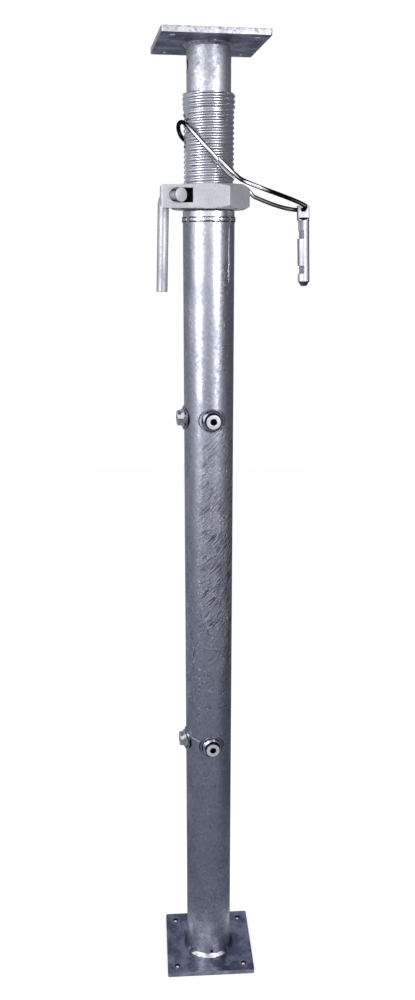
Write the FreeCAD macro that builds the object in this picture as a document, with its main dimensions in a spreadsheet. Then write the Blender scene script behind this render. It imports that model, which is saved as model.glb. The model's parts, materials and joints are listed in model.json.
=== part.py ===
import FreeCAD, Part
import math
import os
import Sketcher

# Adjustable steel prop, at its closed length, in millimetres.
# The origin is the middle of the foot plate's underside, on the tubes' axis, with +Z up.
# The pin holes run along X, and the bosses stand on the -X and -Y sides of the outer tube.
# The collar nut and what hangs on it are turned about Z by nut_turn_angle, where the nut stopped.

doc = FreeCAD.newDocument("steel_prop")
V = FreeCAD.Vector
Z_AXIS = V(0, 0, 1)
# How close two lengths are to count as the same, and a direction's part along an axis.
NEAR = 0.01
ALONG = 0.999

# Driving dimensions, one row of the sheet each: alias, value, what it measures.
DIMENSIONS = [
    ("closed_height", 1500.0, "foot plate underside to head plate top, closed"),
    ("travel", 1000.0, "how far the inner tube slides out"),
    ("plate_side", 150.0, "side of the square end plates"),
    ("plate_thick", 8.0, "thickness of the end plates"),
    ("plate_corner", 3.0, "corner radius of the end plates"),
    ("hole_spacing", 115.5, "side of the square of bolt holes"),
    ("plate_hole_dia", 9.0, "bolt holes in the end plates"),
    ("foot_turn_angle", -5.0, "foot plate turned about Z, degrees"),
    ("outer_dia", 76.1, "outer tube, outside"),
    ("outer_wall", 4.0, "outer tube wall"),
    ("joint_drop", 243.0, "butt joint of outer tube and sleeve below the head plate's top"),
    ("vent_width", 6.0, "drain hole at the foot of the outer tube, width at its base"),
    ("vent_rise", 6.0, "drain hole height"),
    ("vent_low", 7.0, "base of the drain hole above the foot plate"),
    ("foot_weld_leg", 8.5, "fillet weld at the foot plate"),
    ("weld_toe", 0.2, "thickness of a fillet weld where it ends on the tube"),
    ("sleeve_wall", 5.0, "threaded sleeve wall under the plain part"),
    ("shoulder_height", 13.2, "plain part of the sleeve above the joint"),
    ("crest_step", 2.7, "crest of the sleeve's thread under the outer tube, on the diameter"),
    ("pitch", 7.0, "pitch of the thread"),
    ("stop_step", 0.5, "full threads at the top under the outer tube, on the diameter"),
    ("stop_turns", 3.0, "number of full threads that stop the nut at the top"),
    ("sleeve_length", 171.0, "sleeve above the joint"),
    ("slot_width", 19.0, "pin slots in the sleeve"),
    ("slot_low", 25.0, "lower end of a pin slot above the joint"),
    ("slot_top_rest", 25.0, "sleeve left above a pin slot"),
    ("slot_square", 0.5, "straight part left at each end of a slot, half width"),
    ("joint_weld_rise", 1.85, "weld round the butt joint, height above the tube's skin"),
    ("joint_weld_round", 0.6, "rounding of that weld's crown"),
    ("joint_weld_tall", 8.5, "weld round the butt joint, height"),
    ("inner_step", 12.6, "inner tube under the outer tube, on the diameter"),
    ("inner_wall", 4.0, "inner tube wall"),
    ("end_gap", 0.3, "running clearance at stops and ends"),
    ("pin_hole_dia", 18.0, "pin holes in the inner tube"),
    ("pin_hole_step", 100.0, "spacing of the pin holes"),
    ("pin_hole_count", 12.0, "number of pin holes"),
    ("top_hole_drop", 27.0, "top pin hole below the head plate"),
    ("stop_ring_thick", 2.05, "guide and stop ring on the inner tube, thickness"),
    ("stop_ring_tall", 30.0, "guide and stop ring height"),
    ("head_weld_leg", 5.5, "fillet weld under the head plate"),
    ("boss_neck_dia", 23.5, "round neck of a boss"),
    ("boss_corner_dia", 34.6, "hexagon of a boss, across corners"),
    ("boss_tall", 11.45, "tip of a boss above the tube's skin"),
    ("boss_neck_long", 5.5, "straight neck of a boss"),
    ("boss_hole_dia", 10.3, "tapping size hole of a boss"),
    ("boss_edge", 1.0, "chamfer at the tip of a boss"),
    ("boss_floor", 1.0, "floor left under a boss's hole"),
    ("boss_weld_width", 4.0, "weld ring width outside the boss, at its foot"),
    ("boss_weld_thick", 2.2, "weld ring thickness on the tube"),
    ("boss_low_level", 418.0, "lower pair of bosses"),
    ("boss_high_drop", 292.0, "upper pair of bosses below the butt joint"),
    ("boss_root", 8.0, "how far a boss's blank starts inside the tube's skin"),
    ("nut_wall", 15.3, "collar nut across flats over the thread's crest, each side"),
    ("nut_tall", 34.0, "collar nut height"),
    ("nut_seat_gap", 0.8, "nut above the sleeve's plain part"),
    ("nut_clear", 0.3, "nut bore round the thread, radial"),
    ("nut_turn_angle", -8.7, "how far the nut is turned about Z, degrees"),
    ("nut_corner_out", 10.0, "how far out from a flat the corner's chamfer is drawn"),
    ("nut_corner_fall", 5.4, "height that the corner's chamfer takes over that way"),
    ("lug_reach", 69.0, "outer end of the lug from the axis"),
    ("lug_thick", 12.0, "lug thickness"),
    ("lug_drop", 1.5, "lug below the nut's top"),
    ("lug_rise", 0.5, "lug above the nut's underside"),
    ("lug_corner", 5.5, "rounded corners of the lug"),
    ("slot_from", 55.0, "outer end of the handle slot from the axis"),
    ("slot_to", 22.0, "inner end of the handle slot from the axis"),
    ("handle_slot_tall", 20.0, "handle slot height"),
    ("handle_slot_level", 18.0, "middle of the handle slot above the nut's underside"),
    ("handle_slot_deep", 16.0, "depth of the handle slot from the nut's front"),
    ("handle_dia", 16.0, "handle bar"),
    ("handle_clear", 0.7, "handle bar in its slot, radial"),
    ("handle_aim_angle", 38.0, "handle's short leg from the nut's front, degrees"),
    ("handle_off_x", 64.8, "handle's long leg left of the axis"),
    ("handle_off_y", 25.9, "handle's long leg in front of the axis"),
    ("handle_short", 43.8, "short leg from the long leg's axis to its end"),
    ("handle_long", 134.0, "long leg below the short leg's axis"),
    ("handle_bend", 14.0, "bend radius of the handle's axis"),
    ("handle_head_dia", 19.4, "upset end of the handle"),
    ("handle_head_long", 3.5, "length of the upset end"),
    ("handle_lean_angle", 2.0, "handle leans out at rest, degrees"),
    ("rod_dia", 6.0, "rod of the pin's loop"),
    ("rod_weld_dia", 3.6, "weld bead along the loop's two ends"),
    ("pin_reach", 138.1, "hanging pin from the axis"),
    ("eye_rise", 14.7, "eye of the hanging pin above the butt joint"),
    ("pin_lean_angle", 1.9, "pin leans out at rest, degrees"),
    ("pin_dia", 17.4, "locking pin"),
    ("pin_length", 114.8, "locking pin, head to tip"),
    ("pin_head_dia", 18.0, "head of the pin"),
    ("pin_head_long", 21.0, "head of the pin, length"),
    ("pin_head_edge", 1.0, "chamfer at the head's top"),
    ("pin_head_fall", 1.5, "length of the slope under the head"),
    ("pin_flat", 10.0, "thickness of the flattened eye"),
    ("pin_flat_long", 17.0, "length of the flats at the eye"),
    ("pin_tip_dia", 8.0, "end of the pin's cone"),
    ("pin_tip_long", 7.0, "length of the pin's cone"),
    ("eye_dia", 7.5, "eye of the pin"),
    ("eye_drop", 5.5, "eye below the top of the pin"),
    ("notch_deep", 5.8, "depth of the seat notches"),
    ("notch_long", 11.6, "length of the seat notches"),
    ("notch_first", 41.0, "middle of the upper notch below the top"),
    ("notch_step", 50.0, "spacing of the notches"),
    ("notch_aim_angle", 23.0, "notches turned from the pin's left to its front, degrees"),
    ("neck_deep", 4.2, "depth of the flat between the head and the upper notch"),
]

sheet = doc.addObject("Spreadsheet::Sheet", "sizes")
sheet.Label = "sizes"
for row, (alias, value, meaning) in enumerate(DIMENSIONS, start=1):
    sheet.set("A%d" % row, alias)
    sheet.set("B%d" % row, str(value))
    sheet.set("C%d" % row, meaning)
    sheet.setAlias("B%d" % row, alias)
doc.recompute()


def size(alias):
    return float(sheet.get(alias))


def bound(expression):
    """A sheet formula with each alias written as a reference to the sheet."""
    words = expression.split(" ")
    names = {alias for alias, value, meaning in DIMENSIONS}
    return " ".join("sizes." + word if word in names else word for word in words)


# Formulas that several pieces share.
OUTER_R = "outer_dia / 2"
INNER_R = "( outer_dia - inner_step ) / 2"
CREST_R = "( outer_dia - crest_step ) / 2"
STOP_R = "( outer_dia - stop_step ) / 2"
SLEEVE_BORE_R = "( outer_dia / 2 - sleeve_wall )"
HEAD_LEVEL = "( closed_height - plate_thick )"
JOINT_LEVEL = "( closed_height - joint_drop )"
NUT_LOW = JOINT_LEVEL + " + shoulder_height + nut_seat_gap"
NUT_FLAT_R = "( ( outer_dia - crest_step ) / 2 + nut_wall )"
BOSS_TIP_R = "( outer_dia / 2 + boss_tall )"


def bind(feature, **formulas):
    for name, formula in formulas.items():
        feature.setExpression(name.replace("__", "."), bound(formula))
    return feature


def primitive(kind, name, low="0", **formulas):
    """A Part primitive on the Z axis, with its foot at a level."""
    feature = doc.addObject(kind, name)
    bind(feature, **formulas)
    bind(feature, Placement__Base__z=low)
    return feature


def boolean(kind, name, base, tool):
    feature = doc.addObject(kind, name)
    feature.Base = base
    feature.Tool = tool
    return feature


def ring(name, outer_r, inner_r, low, tall):
    """A plain tube about Z between two radii."""
    outside = primitive("Part::Cylinder", name + "_outside", low, Radius=outer_r, Height=tall)
    inside = primitive("Part::Cylinder", name + "_inside", low, Radius=inner_r, Height=tall)
    return boolean("Part::Cut", name, outside, inside)


def body(name):
    made = doc.addObject("PartDesign::Body", name)
    made.Label = name
    return made


def plane_of(owner, role):
    return next(f for f in owner.Origin.OriginFeatures if f.Role == role)


def sketch(owner, name, role, offset="0"):
    """A sketch on one of the body's own planes, moved along the plane's normal."""
    made = owner.newObject("Sketcher::SketchObject", name)
    made.AttachmentSupport = (plane_of(owner, role), "")
    made.MapMode = "FlatFace"
    made.setExpression("AttachmentOffset.Base.z", bound(offset))
    return made


def fix_point(made, line, end, across, up):
    """Holds a point of the sketch at two formulas from the sketch's origin."""
    for kind, formula in (("DistanceX", across), ("DistanceY", up)):
        start = value_of(formula)
        index = made.addConstraint(Sketcher.Constraint(kind, -1, 1, line, end, start))
        made.setExpression("Constraints[%d]" % index, bound(formula))


def value_of(formula):
    """The number that a sheet formula gives, to start a sketch near its solution."""
    numbers = {alias: str(value) for alias, value, meaning in DIMENSIONS}
    plain = " ".join(numbers.get(word, word) for word in formula.split(" "))
    return float(FreeCAD.Units.Quantity(plain).Value)


def polygon(made, corners):
    """A closed outline of straight lines through corners given as formulas."""
    points = [V(value_of(a), value_of(b), 0) for a, b in corners]
    count = len(points)
    first = made.GeometryCount
    for i in range(count):
        made.addGeometry(Part.LineSegment(points[i], points[(i + 1) % count]), False)
    for i in range(count):
        after = first + (i + 1) % count
        made.addConstraint(Sketcher.Constraint("Coincident", first + i, 2, after, 1))
    for i, (across, up) in enumerate(corners):
        fix_point(made, first + i, 1, across, up)


def circle(made, across, up, radius):
    centre = V(value_of(across), value_of(up), 0)
    made.addGeometry(Part.Circle(centre, Z_AXIS, value_of(radius)), False)
    index = made.GeometryCount - 1
    fix_point(made, index, 3, across, up)
    held = made.addConstraint(Sketcher.Constraint("Radius", index, value_of(radius)))
    made.setExpression("Constraints[%d]" % held, bound(radius))


def round_ended_slot(made, round_end, square_end, up, tall):
    """A slot along the sketch's X: a half round at one end, square at the other."""
    left, right, y, r = (value_of(f) for f in (round_end, square_end, up, tall + " / 2"))
    made.addGeometry(Part.LineSegment(V(left + r, y - r, 0), V(right, y - r, 0)), False)
    made.addGeometry(Part.LineSegment(V(right, y - r, 0), V(right, y + r, 0)), False)
    made.addGeometry(Part.LineSegment(V(right, y + r, 0), V(left + r, y + r, 0)), False)
    half_turn = Part.ArcOfCircle(
        Part.Circle(V(left + r, y, 0), Z_AXIS, r), math.pi / 2, 1.5 * math.pi
    )
    made.addGeometry(half_turn, False)
    made.addConstraint(Sketcher.Constraint("Coincident", 0, 2, 1, 1))
    made.addConstraint(Sketcher.Constraint("Coincident", 1, 2, 2, 1))
    made.addConstraint(Sketcher.Constraint("Coincident", 2, 2, 3, 1))
    made.addConstraint(Sketcher.Constraint("Coincident", 3, 2, 0, 1))
    fix_point(made, 1, 1, square_end, up + " - " + tall + " / 2")
    fix_point(made, 1, 2, square_end, up + " + " + tall + " / 2")
    fix_point(made, 3, 3, round_end + " + " + tall + " / 2", up)
    made.addConstraint(Sketcher.Constraint("Vertical", 3, 1, 3, 2))
    made.addConstraint(Sketcher.Constraint("Horizontal", 0))


def pad(owner, name, profile, length):
    made = owner.newObject("PartDesign::Pad", name)
    made.Profile = profile
    bind(made, Length=length)
    return made


def pocket_through(owner, name, profile):
    """Cuts the profile through everything, both ways."""
    made = owner.newObject("PartDesign::Pocket", name)
    made.Profile = profile
    made.Midplane = True
    made.Type = "ThroughAll"
    return made


def turned(owner, kind, name, profile):
    """A full turn of the profile about the sketch's vertical axis."""
    made = owner.newObject(kind, name)
    made.Profile = profile
    made.ReferenceAxis = (profile, ["V_Axis"])
    made.Angle = 360.0
    return made


nodes = []


def keep(feature, name):
    feature.Label = name
    nodes.append((feature, name))
    return feature


def turn_about_axis(feature, formula):
    """Turns a finished piece about the tubes' axis by a formula in degrees."""
    feature.Placement = FreeCAD.Placement(V(0, 0, 0), FreeCAD.Rotation(Z_AXIS, 1.0))
    feature.setExpression("Placement.Rotation.Angle", bound(formula))


# The two end plates are square, with a bolt hole near each rounded corner.
def end_plate(name, level, turn):
    plate = body(name)
    outline = sketch(plate, name + "_outline", "XY_Plane")
    half = "plate_side / 2"
    polygon(outline, [("0 - " + half, "0 - " + half), (half, "0 - " + half), (half, half),
                      ("0 - " + half, half)])
    slab = pad(plate, name + "_slab", outline, "plate_thick")
    doc.recompute()
    corners = []
    for i, edge in enumerate(slab.Shape.Edges, start=1):
        if abs(edge.tangentAt(edge.FirstParameter).z) > ALONG:
            corners.append("Edge%d" % i)
    rounding = plate.newObject("PartDesign::Fillet", name + "_corners")
    rounding.Base = (slab, corners)
    bind(rounding, Radius="plate_corner")
    drill = sketch(plate, name + "_drill", "XY_Plane")
    circle(drill, "hole_spacing / 2", "hole_spacing / 2", "plate_hole_dia / 2")
    hole = pocket_through(plate, name + "_hole", drill)
    holes = plate.newObject("PartDesign::PolarPattern", name + "_holes")
    holes.Originals = [hole]
    holes.Axis = (drill, ["N_Axis"])
    holes.Angle = 360.0
    holes.Occurrences = 4
    plate.Tip = holes
    turn_about_axis(plate, turn)
    bind(plate, Placement__Base__z=level)
    return keep(plate, name)


end_plate("foot_plate", "0", "foot_turn_angle")
end_plate("head_plate", HEAD_LEVEL, "0")

# Outer tube, with a small three-cornered drain hole at the front, above the foot's weld.
tube = ring("outer_tube_pipe", OUTER_R, OUTER_R + " - outer_wall", "plate_thick",
            JOINT_LEVEL + " - plate_thick")
vent = doc.addObject("Part::Wedge", "vent_hole")
bind(vent, Xmin="0 - vent_width / 2", Xmax="vent_width / 2", X2min="0 - vent_width / 6",
     X2max="vent_width / 6", Ymin="0", Ymax="vent_rise", Zmin="0", Zmax="outer_dia",
     Z2min="0", Z2max="outer_dia")
vent.Placement = FreeCAD.Placement(V(0, 0, 0), FreeCAD.Rotation(V(1, 0, 0), 90))
bind(vent, Placement__Base__z="plate_thick + vent_low")
keep(boolean("Part::Cut", "outer_tube", tube, vent), "outer_tube")

# Fillet weld round the foot of the tube, and the same under the head plate.
foot_cone = primitive("Part::Cone", "foot_weld_cone", "plate_thick",
                      Radius1=OUTER_R + " + foot_weld_leg", Radius2=OUTER_R + " + weld_toe",
                      Height="foot_weld_leg")
foot_core = primitive("Part::Cylinder", "foot_weld_core", "plate_thick", Radius=OUTER_R,
                      Height="foot_weld_leg")
keep(boolean("Part::Cut", "foot_weld", foot_cone, foot_core), "foot_weld")
HEAD_WELD_LOW = HEAD_LEVEL + " - head_weld_leg"
head_cone = primitive("Part::Cone", "head_weld_cone", HEAD_WELD_LOW,
                      Radius1=INNER_R + " + weld_toe", Radius2=INNER_R + " + head_weld_leg",
                      Height="head_weld_leg")
head_core = primitive("Part::Cylinder", "head_weld_core", HEAD_WELD_LOW, Radius=INNER_R,
                      Height="head_weld_leg")
keep(boolean("Part::Cut", "head_weld", head_cone, head_core), "head_weld")


# Threaded sleeve: a plain part at the joint, the thread's body at its crest size, and the full
# threads at the top that stop the nut, with a long pin slot through both sides.
sleeve = body("threaded_sleeve")
section = sketch(sleeve, "sleeve_section", "XZ_Plane")
STOP_LOW = "( sleeve_length - stop_turns * pitch )"
polygon(section, [
    (SLEEVE_BORE_R, "0"), (OUTER_R, "0"), (OUTER_R, "shoulder_height"),
    (CREST_R, "shoulder_height"), (CREST_R, STOP_LOW), (STOP_R, STOP_LOW),
    (STOP_R, "sleeve_length"), (SLEEVE_BORE_R, "sleeve_length")])
turned(sleeve, "PartDesign::Revolution", "sleeve_turned", section)
slot_sketch = sketch(sleeve, "sleeve_slot_outline", "YZ_Plane")
slot_half = "slot_width / 2"
SLOT_HIGH = "( sleeve_length - slot_top_rest )"
polygon(slot_sketch, [
    ("0 - " + slot_half, "slot_low"), (slot_half, "slot_low"),
    (slot_half, SLOT_HIGH), ("0 - " + slot_half, SLOT_HIGH)])
sleeve_slot = pocket_through(sleeve, "sleeve_slot", slot_sketch)
doc.recompute()
slot_ends = []
for i, edge in enumerate(sleeve_slot.Shape.Edges, start=1):
    middle = edge.valueAt((edge.FirstParameter + edge.LastParameter) / 2)
    along_x = abs(edge.tangentAt(edge.FirstParameter).x) > ALONG
    if along_x and abs(abs(middle.y) - size("slot_width") / 2) < NEAR:
        slot_ends.append("Edge%d" % i)
slot_round = sleeve.newObject("PartDesign::Fillet", "sleeve_slot_round")
slot_round.Base = (sleeve_slot, slot_ends)
bind(slot_round, Radius="slot_width / 2 - slot_square")
bind(sleeve, Placement__Base__z=JOINT_LEVEL)
keep(sleeve, "threaded_sleeve")

# Weld round the butt joint of tube and sleeve.
bead = body("sleeve_weld")
bead_sketch = sketch(bead, "bead_section", "XZ_Plane")
CROWN_R = "( outer_dia / 2 + joint_weld_rise )"
HAUNCH_R = "( outer_dia / 2 + joint_weld_rise - joint_weld_round )"
polygon(bead_sketch, [
    (OUTER_R, "0 - joint_weld_tall / 2"), (HAUNCH_R, "0 - joint_weld_tall / 3"),
    (CROWN_R, "0 - joint_weld_tall / 8"), (CROWN_R, "joint_weld_tall / 8"),
    (HAUNCH_R, "joint_weld_tall / 3"), (OUTER_R, "joint_weld_tall / 2")])
turned(bead, "PartDesign::Revolution", "bead_turned", bead_sketch)
bind(bead, Placement__Base__z=JOINT_LEVEL)
keep(bead, "sleeve_weld")

# Inner tube, with a row of pin holes through both walls.
inner = body("inner_tube")
inner_section = sketch(inner, "inner_section", "XY_Plane")
circle(inner_section, "0", "0", INNER_R)
circle(inner_section, "0", "0", INNER_R + " - inner_wall")
INNER_LOW = "( plate_thick + end_gap )"
pad(inner, "inner_pipe", inner_section, HEAD_LEVEL + " - " + INNER_LOW)
pin_sketch = sketch(inner, "pin_hole_outline", "YZ_Plane")
circle(pin_sketch, "0", HEAD_LEVEL + " - " + INNER_LOW + " - top_hole_drop", "pin_hole_dia / 2")
pin_hole = pocket_through(inner, "pin_hole", pin_sketch)
pin_holes = inner.newObject("PartDesign::LinearPattern", "pin_holes")
pin_holes.Originals = [pin_hole]
pin_holes.Direction = (pin_sketch, ["V_Axis"])
pin_holes.Reversed = True
bind(pin_holes, Length="pin_hole_step * ( pin_hole_count - 1 )", Occurrences="pin_hole_count")
inner.Tip = pin_holes
bind(inner, Placement__Base__z=INNER_LOW)
keep(inner, "inner_tube")

# Guide and stop ring: it meets the sleeve's lower end when the prop is fully out.
keep(ring("stop_ring", INNER_R + " + stop_ring_thick", INNER_R,
          JOINT_LEVEL + " - travel - end_gap - stop_ring_tall", "stop_ring_tall"), "stop_ring")


# Threaded bosses: a hexagon that flares down onto the tube, a round neck and a tapped hole.
# Each is built pointing up from the axis, then laid over to its side of the tube.
def boss(side, level_name, level, spin):
    tag = level_name + "_" + side
    blank_low = OUTER_R + " - boss_root"
    flare_tall = "( boss_corner_dia - boss_neck_dia ) / 2"
    flare_low = BOSS_TIP_R + " - boss_neck_long - " + flare_tall
    prism = primitive("Part::Prism", "boss_hexagon_" + tag, blank_low,
                      Circumradius="boss_corner_dia / 2", Height="boss_root + boss_tall")
    prism.Polygon = 6
    skirt = primitive("Part::Cylinder", "boss_skirt_" + tag, blank_low,
                      Radius="boss_corner_dia / 2",
                      Height=flare_low + " - " + OUTER_R + " + boss_root")
    flare = primitive("Part::Cone", "boss_flare_" + tag, flare_low,
                      Radius1="boss_corner_dia / 2", Radius2="boss_neck_dia / 2",
                      Height=flare_tall)
    neck = primitive("Part::Cylinder", "boss_neck_" + tag, BOSS_TIP_R + " - boss_neck_long",
                     Radius="boss_neck_dia / 2", Height="boss_neck_long - boss_edge")
    edge = primitive("Part::Cone", "boss_edge_" + tag, BOSS_TIP_R + " - boss_edge",
                     Radius1="boss_neck_dia / 2", Radius2="boss_neck_dia / 2 - boss_edge",
                     Height="boss_edge")
    stack = doc.addObject("Part::MultiFuse", "boss_stack_" + tag)
    stack.Shapes = [skirt, flare, neck, edge]
    blank = boolean("Part::Common", "boss_blank_" + tag, prism, stack)
    drill = primitive("Part::Cylinder", "boss_drill_" + tag, OUTER_R + " + boss_floor",
                      Radius="boss_hole_dia / 2", Height="boss_tall")
    drilled = boolean("Part::Cut", "boss_drilled_" + tag, blank, drill)
    saddle = primitive("Part::Cylinder", "boss_saddle_" + tag, Radius=OUTER_R,
                       Height="boss_corner_dia * 2")
    lay_across(saddle)
    shaped = boolean("Part::Cut", "boss_shaped_" + tag, drilled, saddle)

    outer = primitive("Part::Cone", "weld_outer_" + tag, blank_low,
                      Radius1="boss_corner_dia / 2 + boss_weld_width",
                      Radius2="boss_corner_dia / 2", Height="boss_root + boss_weld_thick * 2")
    shell = primitive("Part::Cylinder", "weld_shell_" + tag,
                      Radius=OUTER_R + " + boss_weld_thick", Height="boss_corner_dia * 2")
    lay_across(shell)
    band = boolean("Part::Common", "weld_band_" + tag, outer, shell)
    washer = boolean("Part::Cut", "weld_washer_" + tag, band, saddle)
    bead_ring = boolean("Part::Cut", "weld_bead_" + tag, washer, blank)

    for feature, name in ((shaped, "boss_" + tag), (bead_ring, "boss_weld_" + tag)):
        feature.Placement = FreeCAD.Placement(V(0, 0, 0), spin)
        bind(feature, Placement__Base__z=level)
        keep(feature, name)


def lay_across(feature):
    """Lays a cylinder across the boss, along the tube, whichever way the boss is turned."""
    feature.Placement = FreeCAD.Placement(V(0, 0, 0), FreeCAD.Rotation(V(0, 1, 0), 90))
    bind(feature, Placement__Base__x="0 - boss_corner_dia")


# Local Z points out of the tube and local X up along it, on the front and on the left.
FRONT = FreeCAD.Rotation(V(0, 0, 1), V(1, 0, 0), V(0, -1, 0), "ZXY")
LEFT = FreeCAD.Rotation(V(0, 0, 1), V(0, -1, 0), V(-1, 0, 0), "ZXY")
BOSS_HIGH = JOINT_LEVEL + " - boss_high_drop"
for level_name, level in (("upper", BOSS_HIGH), ("lower", "boss_low_level")):
    for side, spin in (("front", FRONT), ("left", LEFT)):
        boss(side, level_name, level, spin)

# Collar nut: a hexagon with chamfered corners, a lug that carries on from its front flat, the
# slot for the handle and the oblique way that the handle's short leg takes through the lug.
nut = body("collar_nut")
hexagon = nut.newObject("PartDesign::AdditivePrism", "nut_hexagon")
hexagon.Polygon = 6
bind(hexagon, Circumradius=NUT_FLAT_R + " / cos( 30deg )", Height="nut_tall")
corner = sketch(nut, "nut_corner_section", "XZ_Plane")
CORNER_OUT = NUT_FLAT_R + " + nut_corner_out"
polygon(corner, [(NUT_FLAT_R, "nut_tall"), (CORNER_OUT, "nut_tall"),
                 (CORNER_OUT, "nut_tall - nut_corner_fall")])
polygon(corner, [(NUT_FLAT_R, "0"), (CORNER_OUT, "nut_corner_fall"), (CORNER_OUT, "0")])
turned(nut, "PartDesign::Groove", "nut_corners", corner)
lug = sketch(nut, "lug_outline", "XZ_Plane", NUT_FLAT_R + " - lug_thick")
polygon(lug, [("0 - lug_reach", "lug_rise"), ("0", "lug_rise"), ("0", "nut_tall - lug_drop"),
              ("0 - lug_reach", "nut_tall - lug_drop")])
pad(nut, "lug_slab", lug, "lug_thick")
bore_sketch = sketch(nut, "nut_bore_outline", "XY_Plane")
circle(bore_sketch, "0", "0", CREST_R + " + nut_clear")
nut_bore = pocket_through(nut, "nut_bore", bore_sketch)
doc.recompute()
lug_edges = []
for i, edge in enumerate(nut_bore.Shape.Edges, start=1):
    middle = edge.valueAt((edge.FirstParameter + edge.LastParameter) / 2)
    at_end = abs(middle.x + size("lug_reach")) < NEAR
    along_y = abs(edge.tangentAt(edge.FirstParameter).y) > ALONG
    upright = abs(edge.tangentAt(edge.FirstParameter).z) > ALONG
    if at_end and (along_y or upright):
        lug_edges.append("Edge%d" % i)
lug_round = nut.newObject("PartDesign::Fillet", "lug_round")
lug_round.Base = (nut_bore, lug_edges)
bind(lug_round, Radius="lug_corner")
slot_outline = sketch(nut, "handle_slot_outline", "XZ_Plane",
                      NUT_FLAT_R + " - handle_slot_deep")
round_ended_slot(slot_outline, "0 - slot_from", "0 - slot_to", "handle_slot_level",
                 "handle_slot_tall")
handle_slot = nut.newObject("PartDesign::Pocket", "handle_slot")
handle_slot.Profile = slot_outline
handle_slot.Reversed = True
bind(handle_slot, Length="handle_slot_deep * 2")
handle_way = nut.newObject("PartDesign::SubtractiveCylinder", "handle_way")
bind(handle_way, Radius="handle_dia / 2 + handle_clear", Height="handle_short")
AIM = FreeCAD.Rotation(Z_AXIS, size("handle_aim_angle"))
handle_way.Placement = FreeCAD.Placement(V(0, 0, 0), AIM * FreeCAD.Rotation(V(1, 0, 0), 90))
bind(handle_way, Placement__Base__x="0 - handle_off_x", Placement__Base__y="0 - handle_off_y",
     Placement__Base__z="handle_slot_level")
turn_about_axis(nut, "nut_turn_angle")
bind(nut, Placement__Base__z=NUT_LOW)
keep(nut, "collar_nut")


def turned_point(across, away, level):
    """A point given in the nut's own turned frame."""
    spin = FreeCAD.Rotation(Z_AXIS, size("nut_turn_angle"))
    return spin.multVec(V(across, away, level))


# Handle: a round bar bent square. Its short leg lies in the lug's slot and ends in an upset head,
# and its long leg hangs behind the lug. It is drawn with the short leg along local -Y.
handle = body("nut_handle")
bar_way = sketch(handle, "handle_way_line", "YZ_Plane")
SHORT = "0 - handle_short + handle_head_long"
short_end, bend = (value_of(f) for f in (SHORT, "handle_bend"))
drop = value_of("handle_long")
bar_way.addGeometry(Part.LineSegment(V(short_end, 0, 0), V(-bend, 0, 0)), False)
bar_bend = Part.ArcOfCircle(Part.Circle(V(-bend, -bend, 0), Z_AXIS, bend), 0, math.pi / 2)
bar_way.addGeometry(bar_bend, False)
bar_way.addGeometry(Part.LineSegment(V(0, -bend, 0), V(0, -drop, 0)), False)
bar_way.addConstraint(Sketcher.Constraint("Coincident", 0, 2, 1, 2))
bar_way.addConstraint(Sketcher.Constraint("Coincident", 1, 1, 2, 1))
fix_point(bar_way, 0, 1, SHORT, "0")
fix_point(bar_way, 0, 2, "0 - handle_bend", "0")
fix_point(bar_way, 2, 1, "0", "0 - handle_bend")
fix_point(bar_way, 2, 2, "0", "0 - handle_long")
middle = bar_way.addConstraint(Sketcher.Constraint("DistanceX", -1, 1, 1, 3, -bend))
bar_way.setExpression("Constraints[%d]" % middle, bound("0 - handle_bend"))
bar_section = sketch(handle, "handle_section", "XZ_Plane", "handle_short - handle_head_long")
circle(bar_section, "0", "0", "handle_dia / 2")
bar = handle.newObject("PartDesign::AdditivePipe", "handle_bar")
bar.Profile = bar_section
bar.Spine = bar_way
head_section = sketch(handle, "handle_head_outline", "XZ_Plane",
                      "handle_short - handle_head_long")
circle(head_section, "0", "0", "handle_head_dia / 2")
pad(handle, "handle_head", head_section, "handle_head_long")
hang = FreeCAD.Rotation(V(0, 1, 0), size("handle_lean_angle"))
spin = FreeCAD.Rotation(Z_AXIS, size("nut_turn_angle")) * AIM * hang
handle_at = turned_point(-size("handle_off_x"), -size("handle_off_y"), 0)
handle.Placement = FreeCAD.Placement(handle_at, spin)
bind(handle, Placement__Base__z=NUT_LOW + " + handle_slot_level")
keep(handle, "nut_handle")

# Loop: a rod bent round the thread, over the nut and through the pin's eye. Its two ends lie side
# by side on the front. Points are across, away and above the joint level, in the turned frame.
LOOP_POINTS = [
    (14.0, -50.0, 80.0), (24.0, -50.0, 71.0), (33.0, -53.0, 62.5), (43.5, -62.0, 52.6),
    (53.0, -72.5, 47.4), (66.0, -75.5, 42.2), (80.0, -69.0, 37.6), (97.0, -52.0, 33.2),
    (117.0, -33.0, 27.6), (132.0, -21.0, 22.6), (141.2, -14.0, 18.6), (138.6, -8.6, 15.0),
    (138.1, 8.5, 14.4), (130.0, 20.0, 14.6), (116.0, 32.0, 17.4), (100.0, 47.5, 22.8),
    (84.3, 60.5, 29.4), (68.0, 72.5, 37.0), (60.5, 72.0, 46.0), (52.0, 64.0, 51.3),
    (37.0, 50.0, 51.3), (18.0, 43.5, 51.5), (3.0, 44.5, 67.0), (-14.0, 43.5, 90.0),
    (-30.5, 31.5, 109.0), (-41.0, 13.5, 116.5), (-44.5, 1.0, 127.5), (-41.0, -14.5, 132.8),
    (-33.4, -30.5, 129.5), (-22.5, -40.0, 117.0), (-6.0, -44.6, 98.8), (7.3, -44.6, 85.7),
    (17.0, -43.4, 72.6), (26.0, -43.2, 62.6), (37.0, -43.4, 54.6),
]

# How much of the shorter run beside a corner its bend takes up.
RUN_SHARE = 0.45


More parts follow.
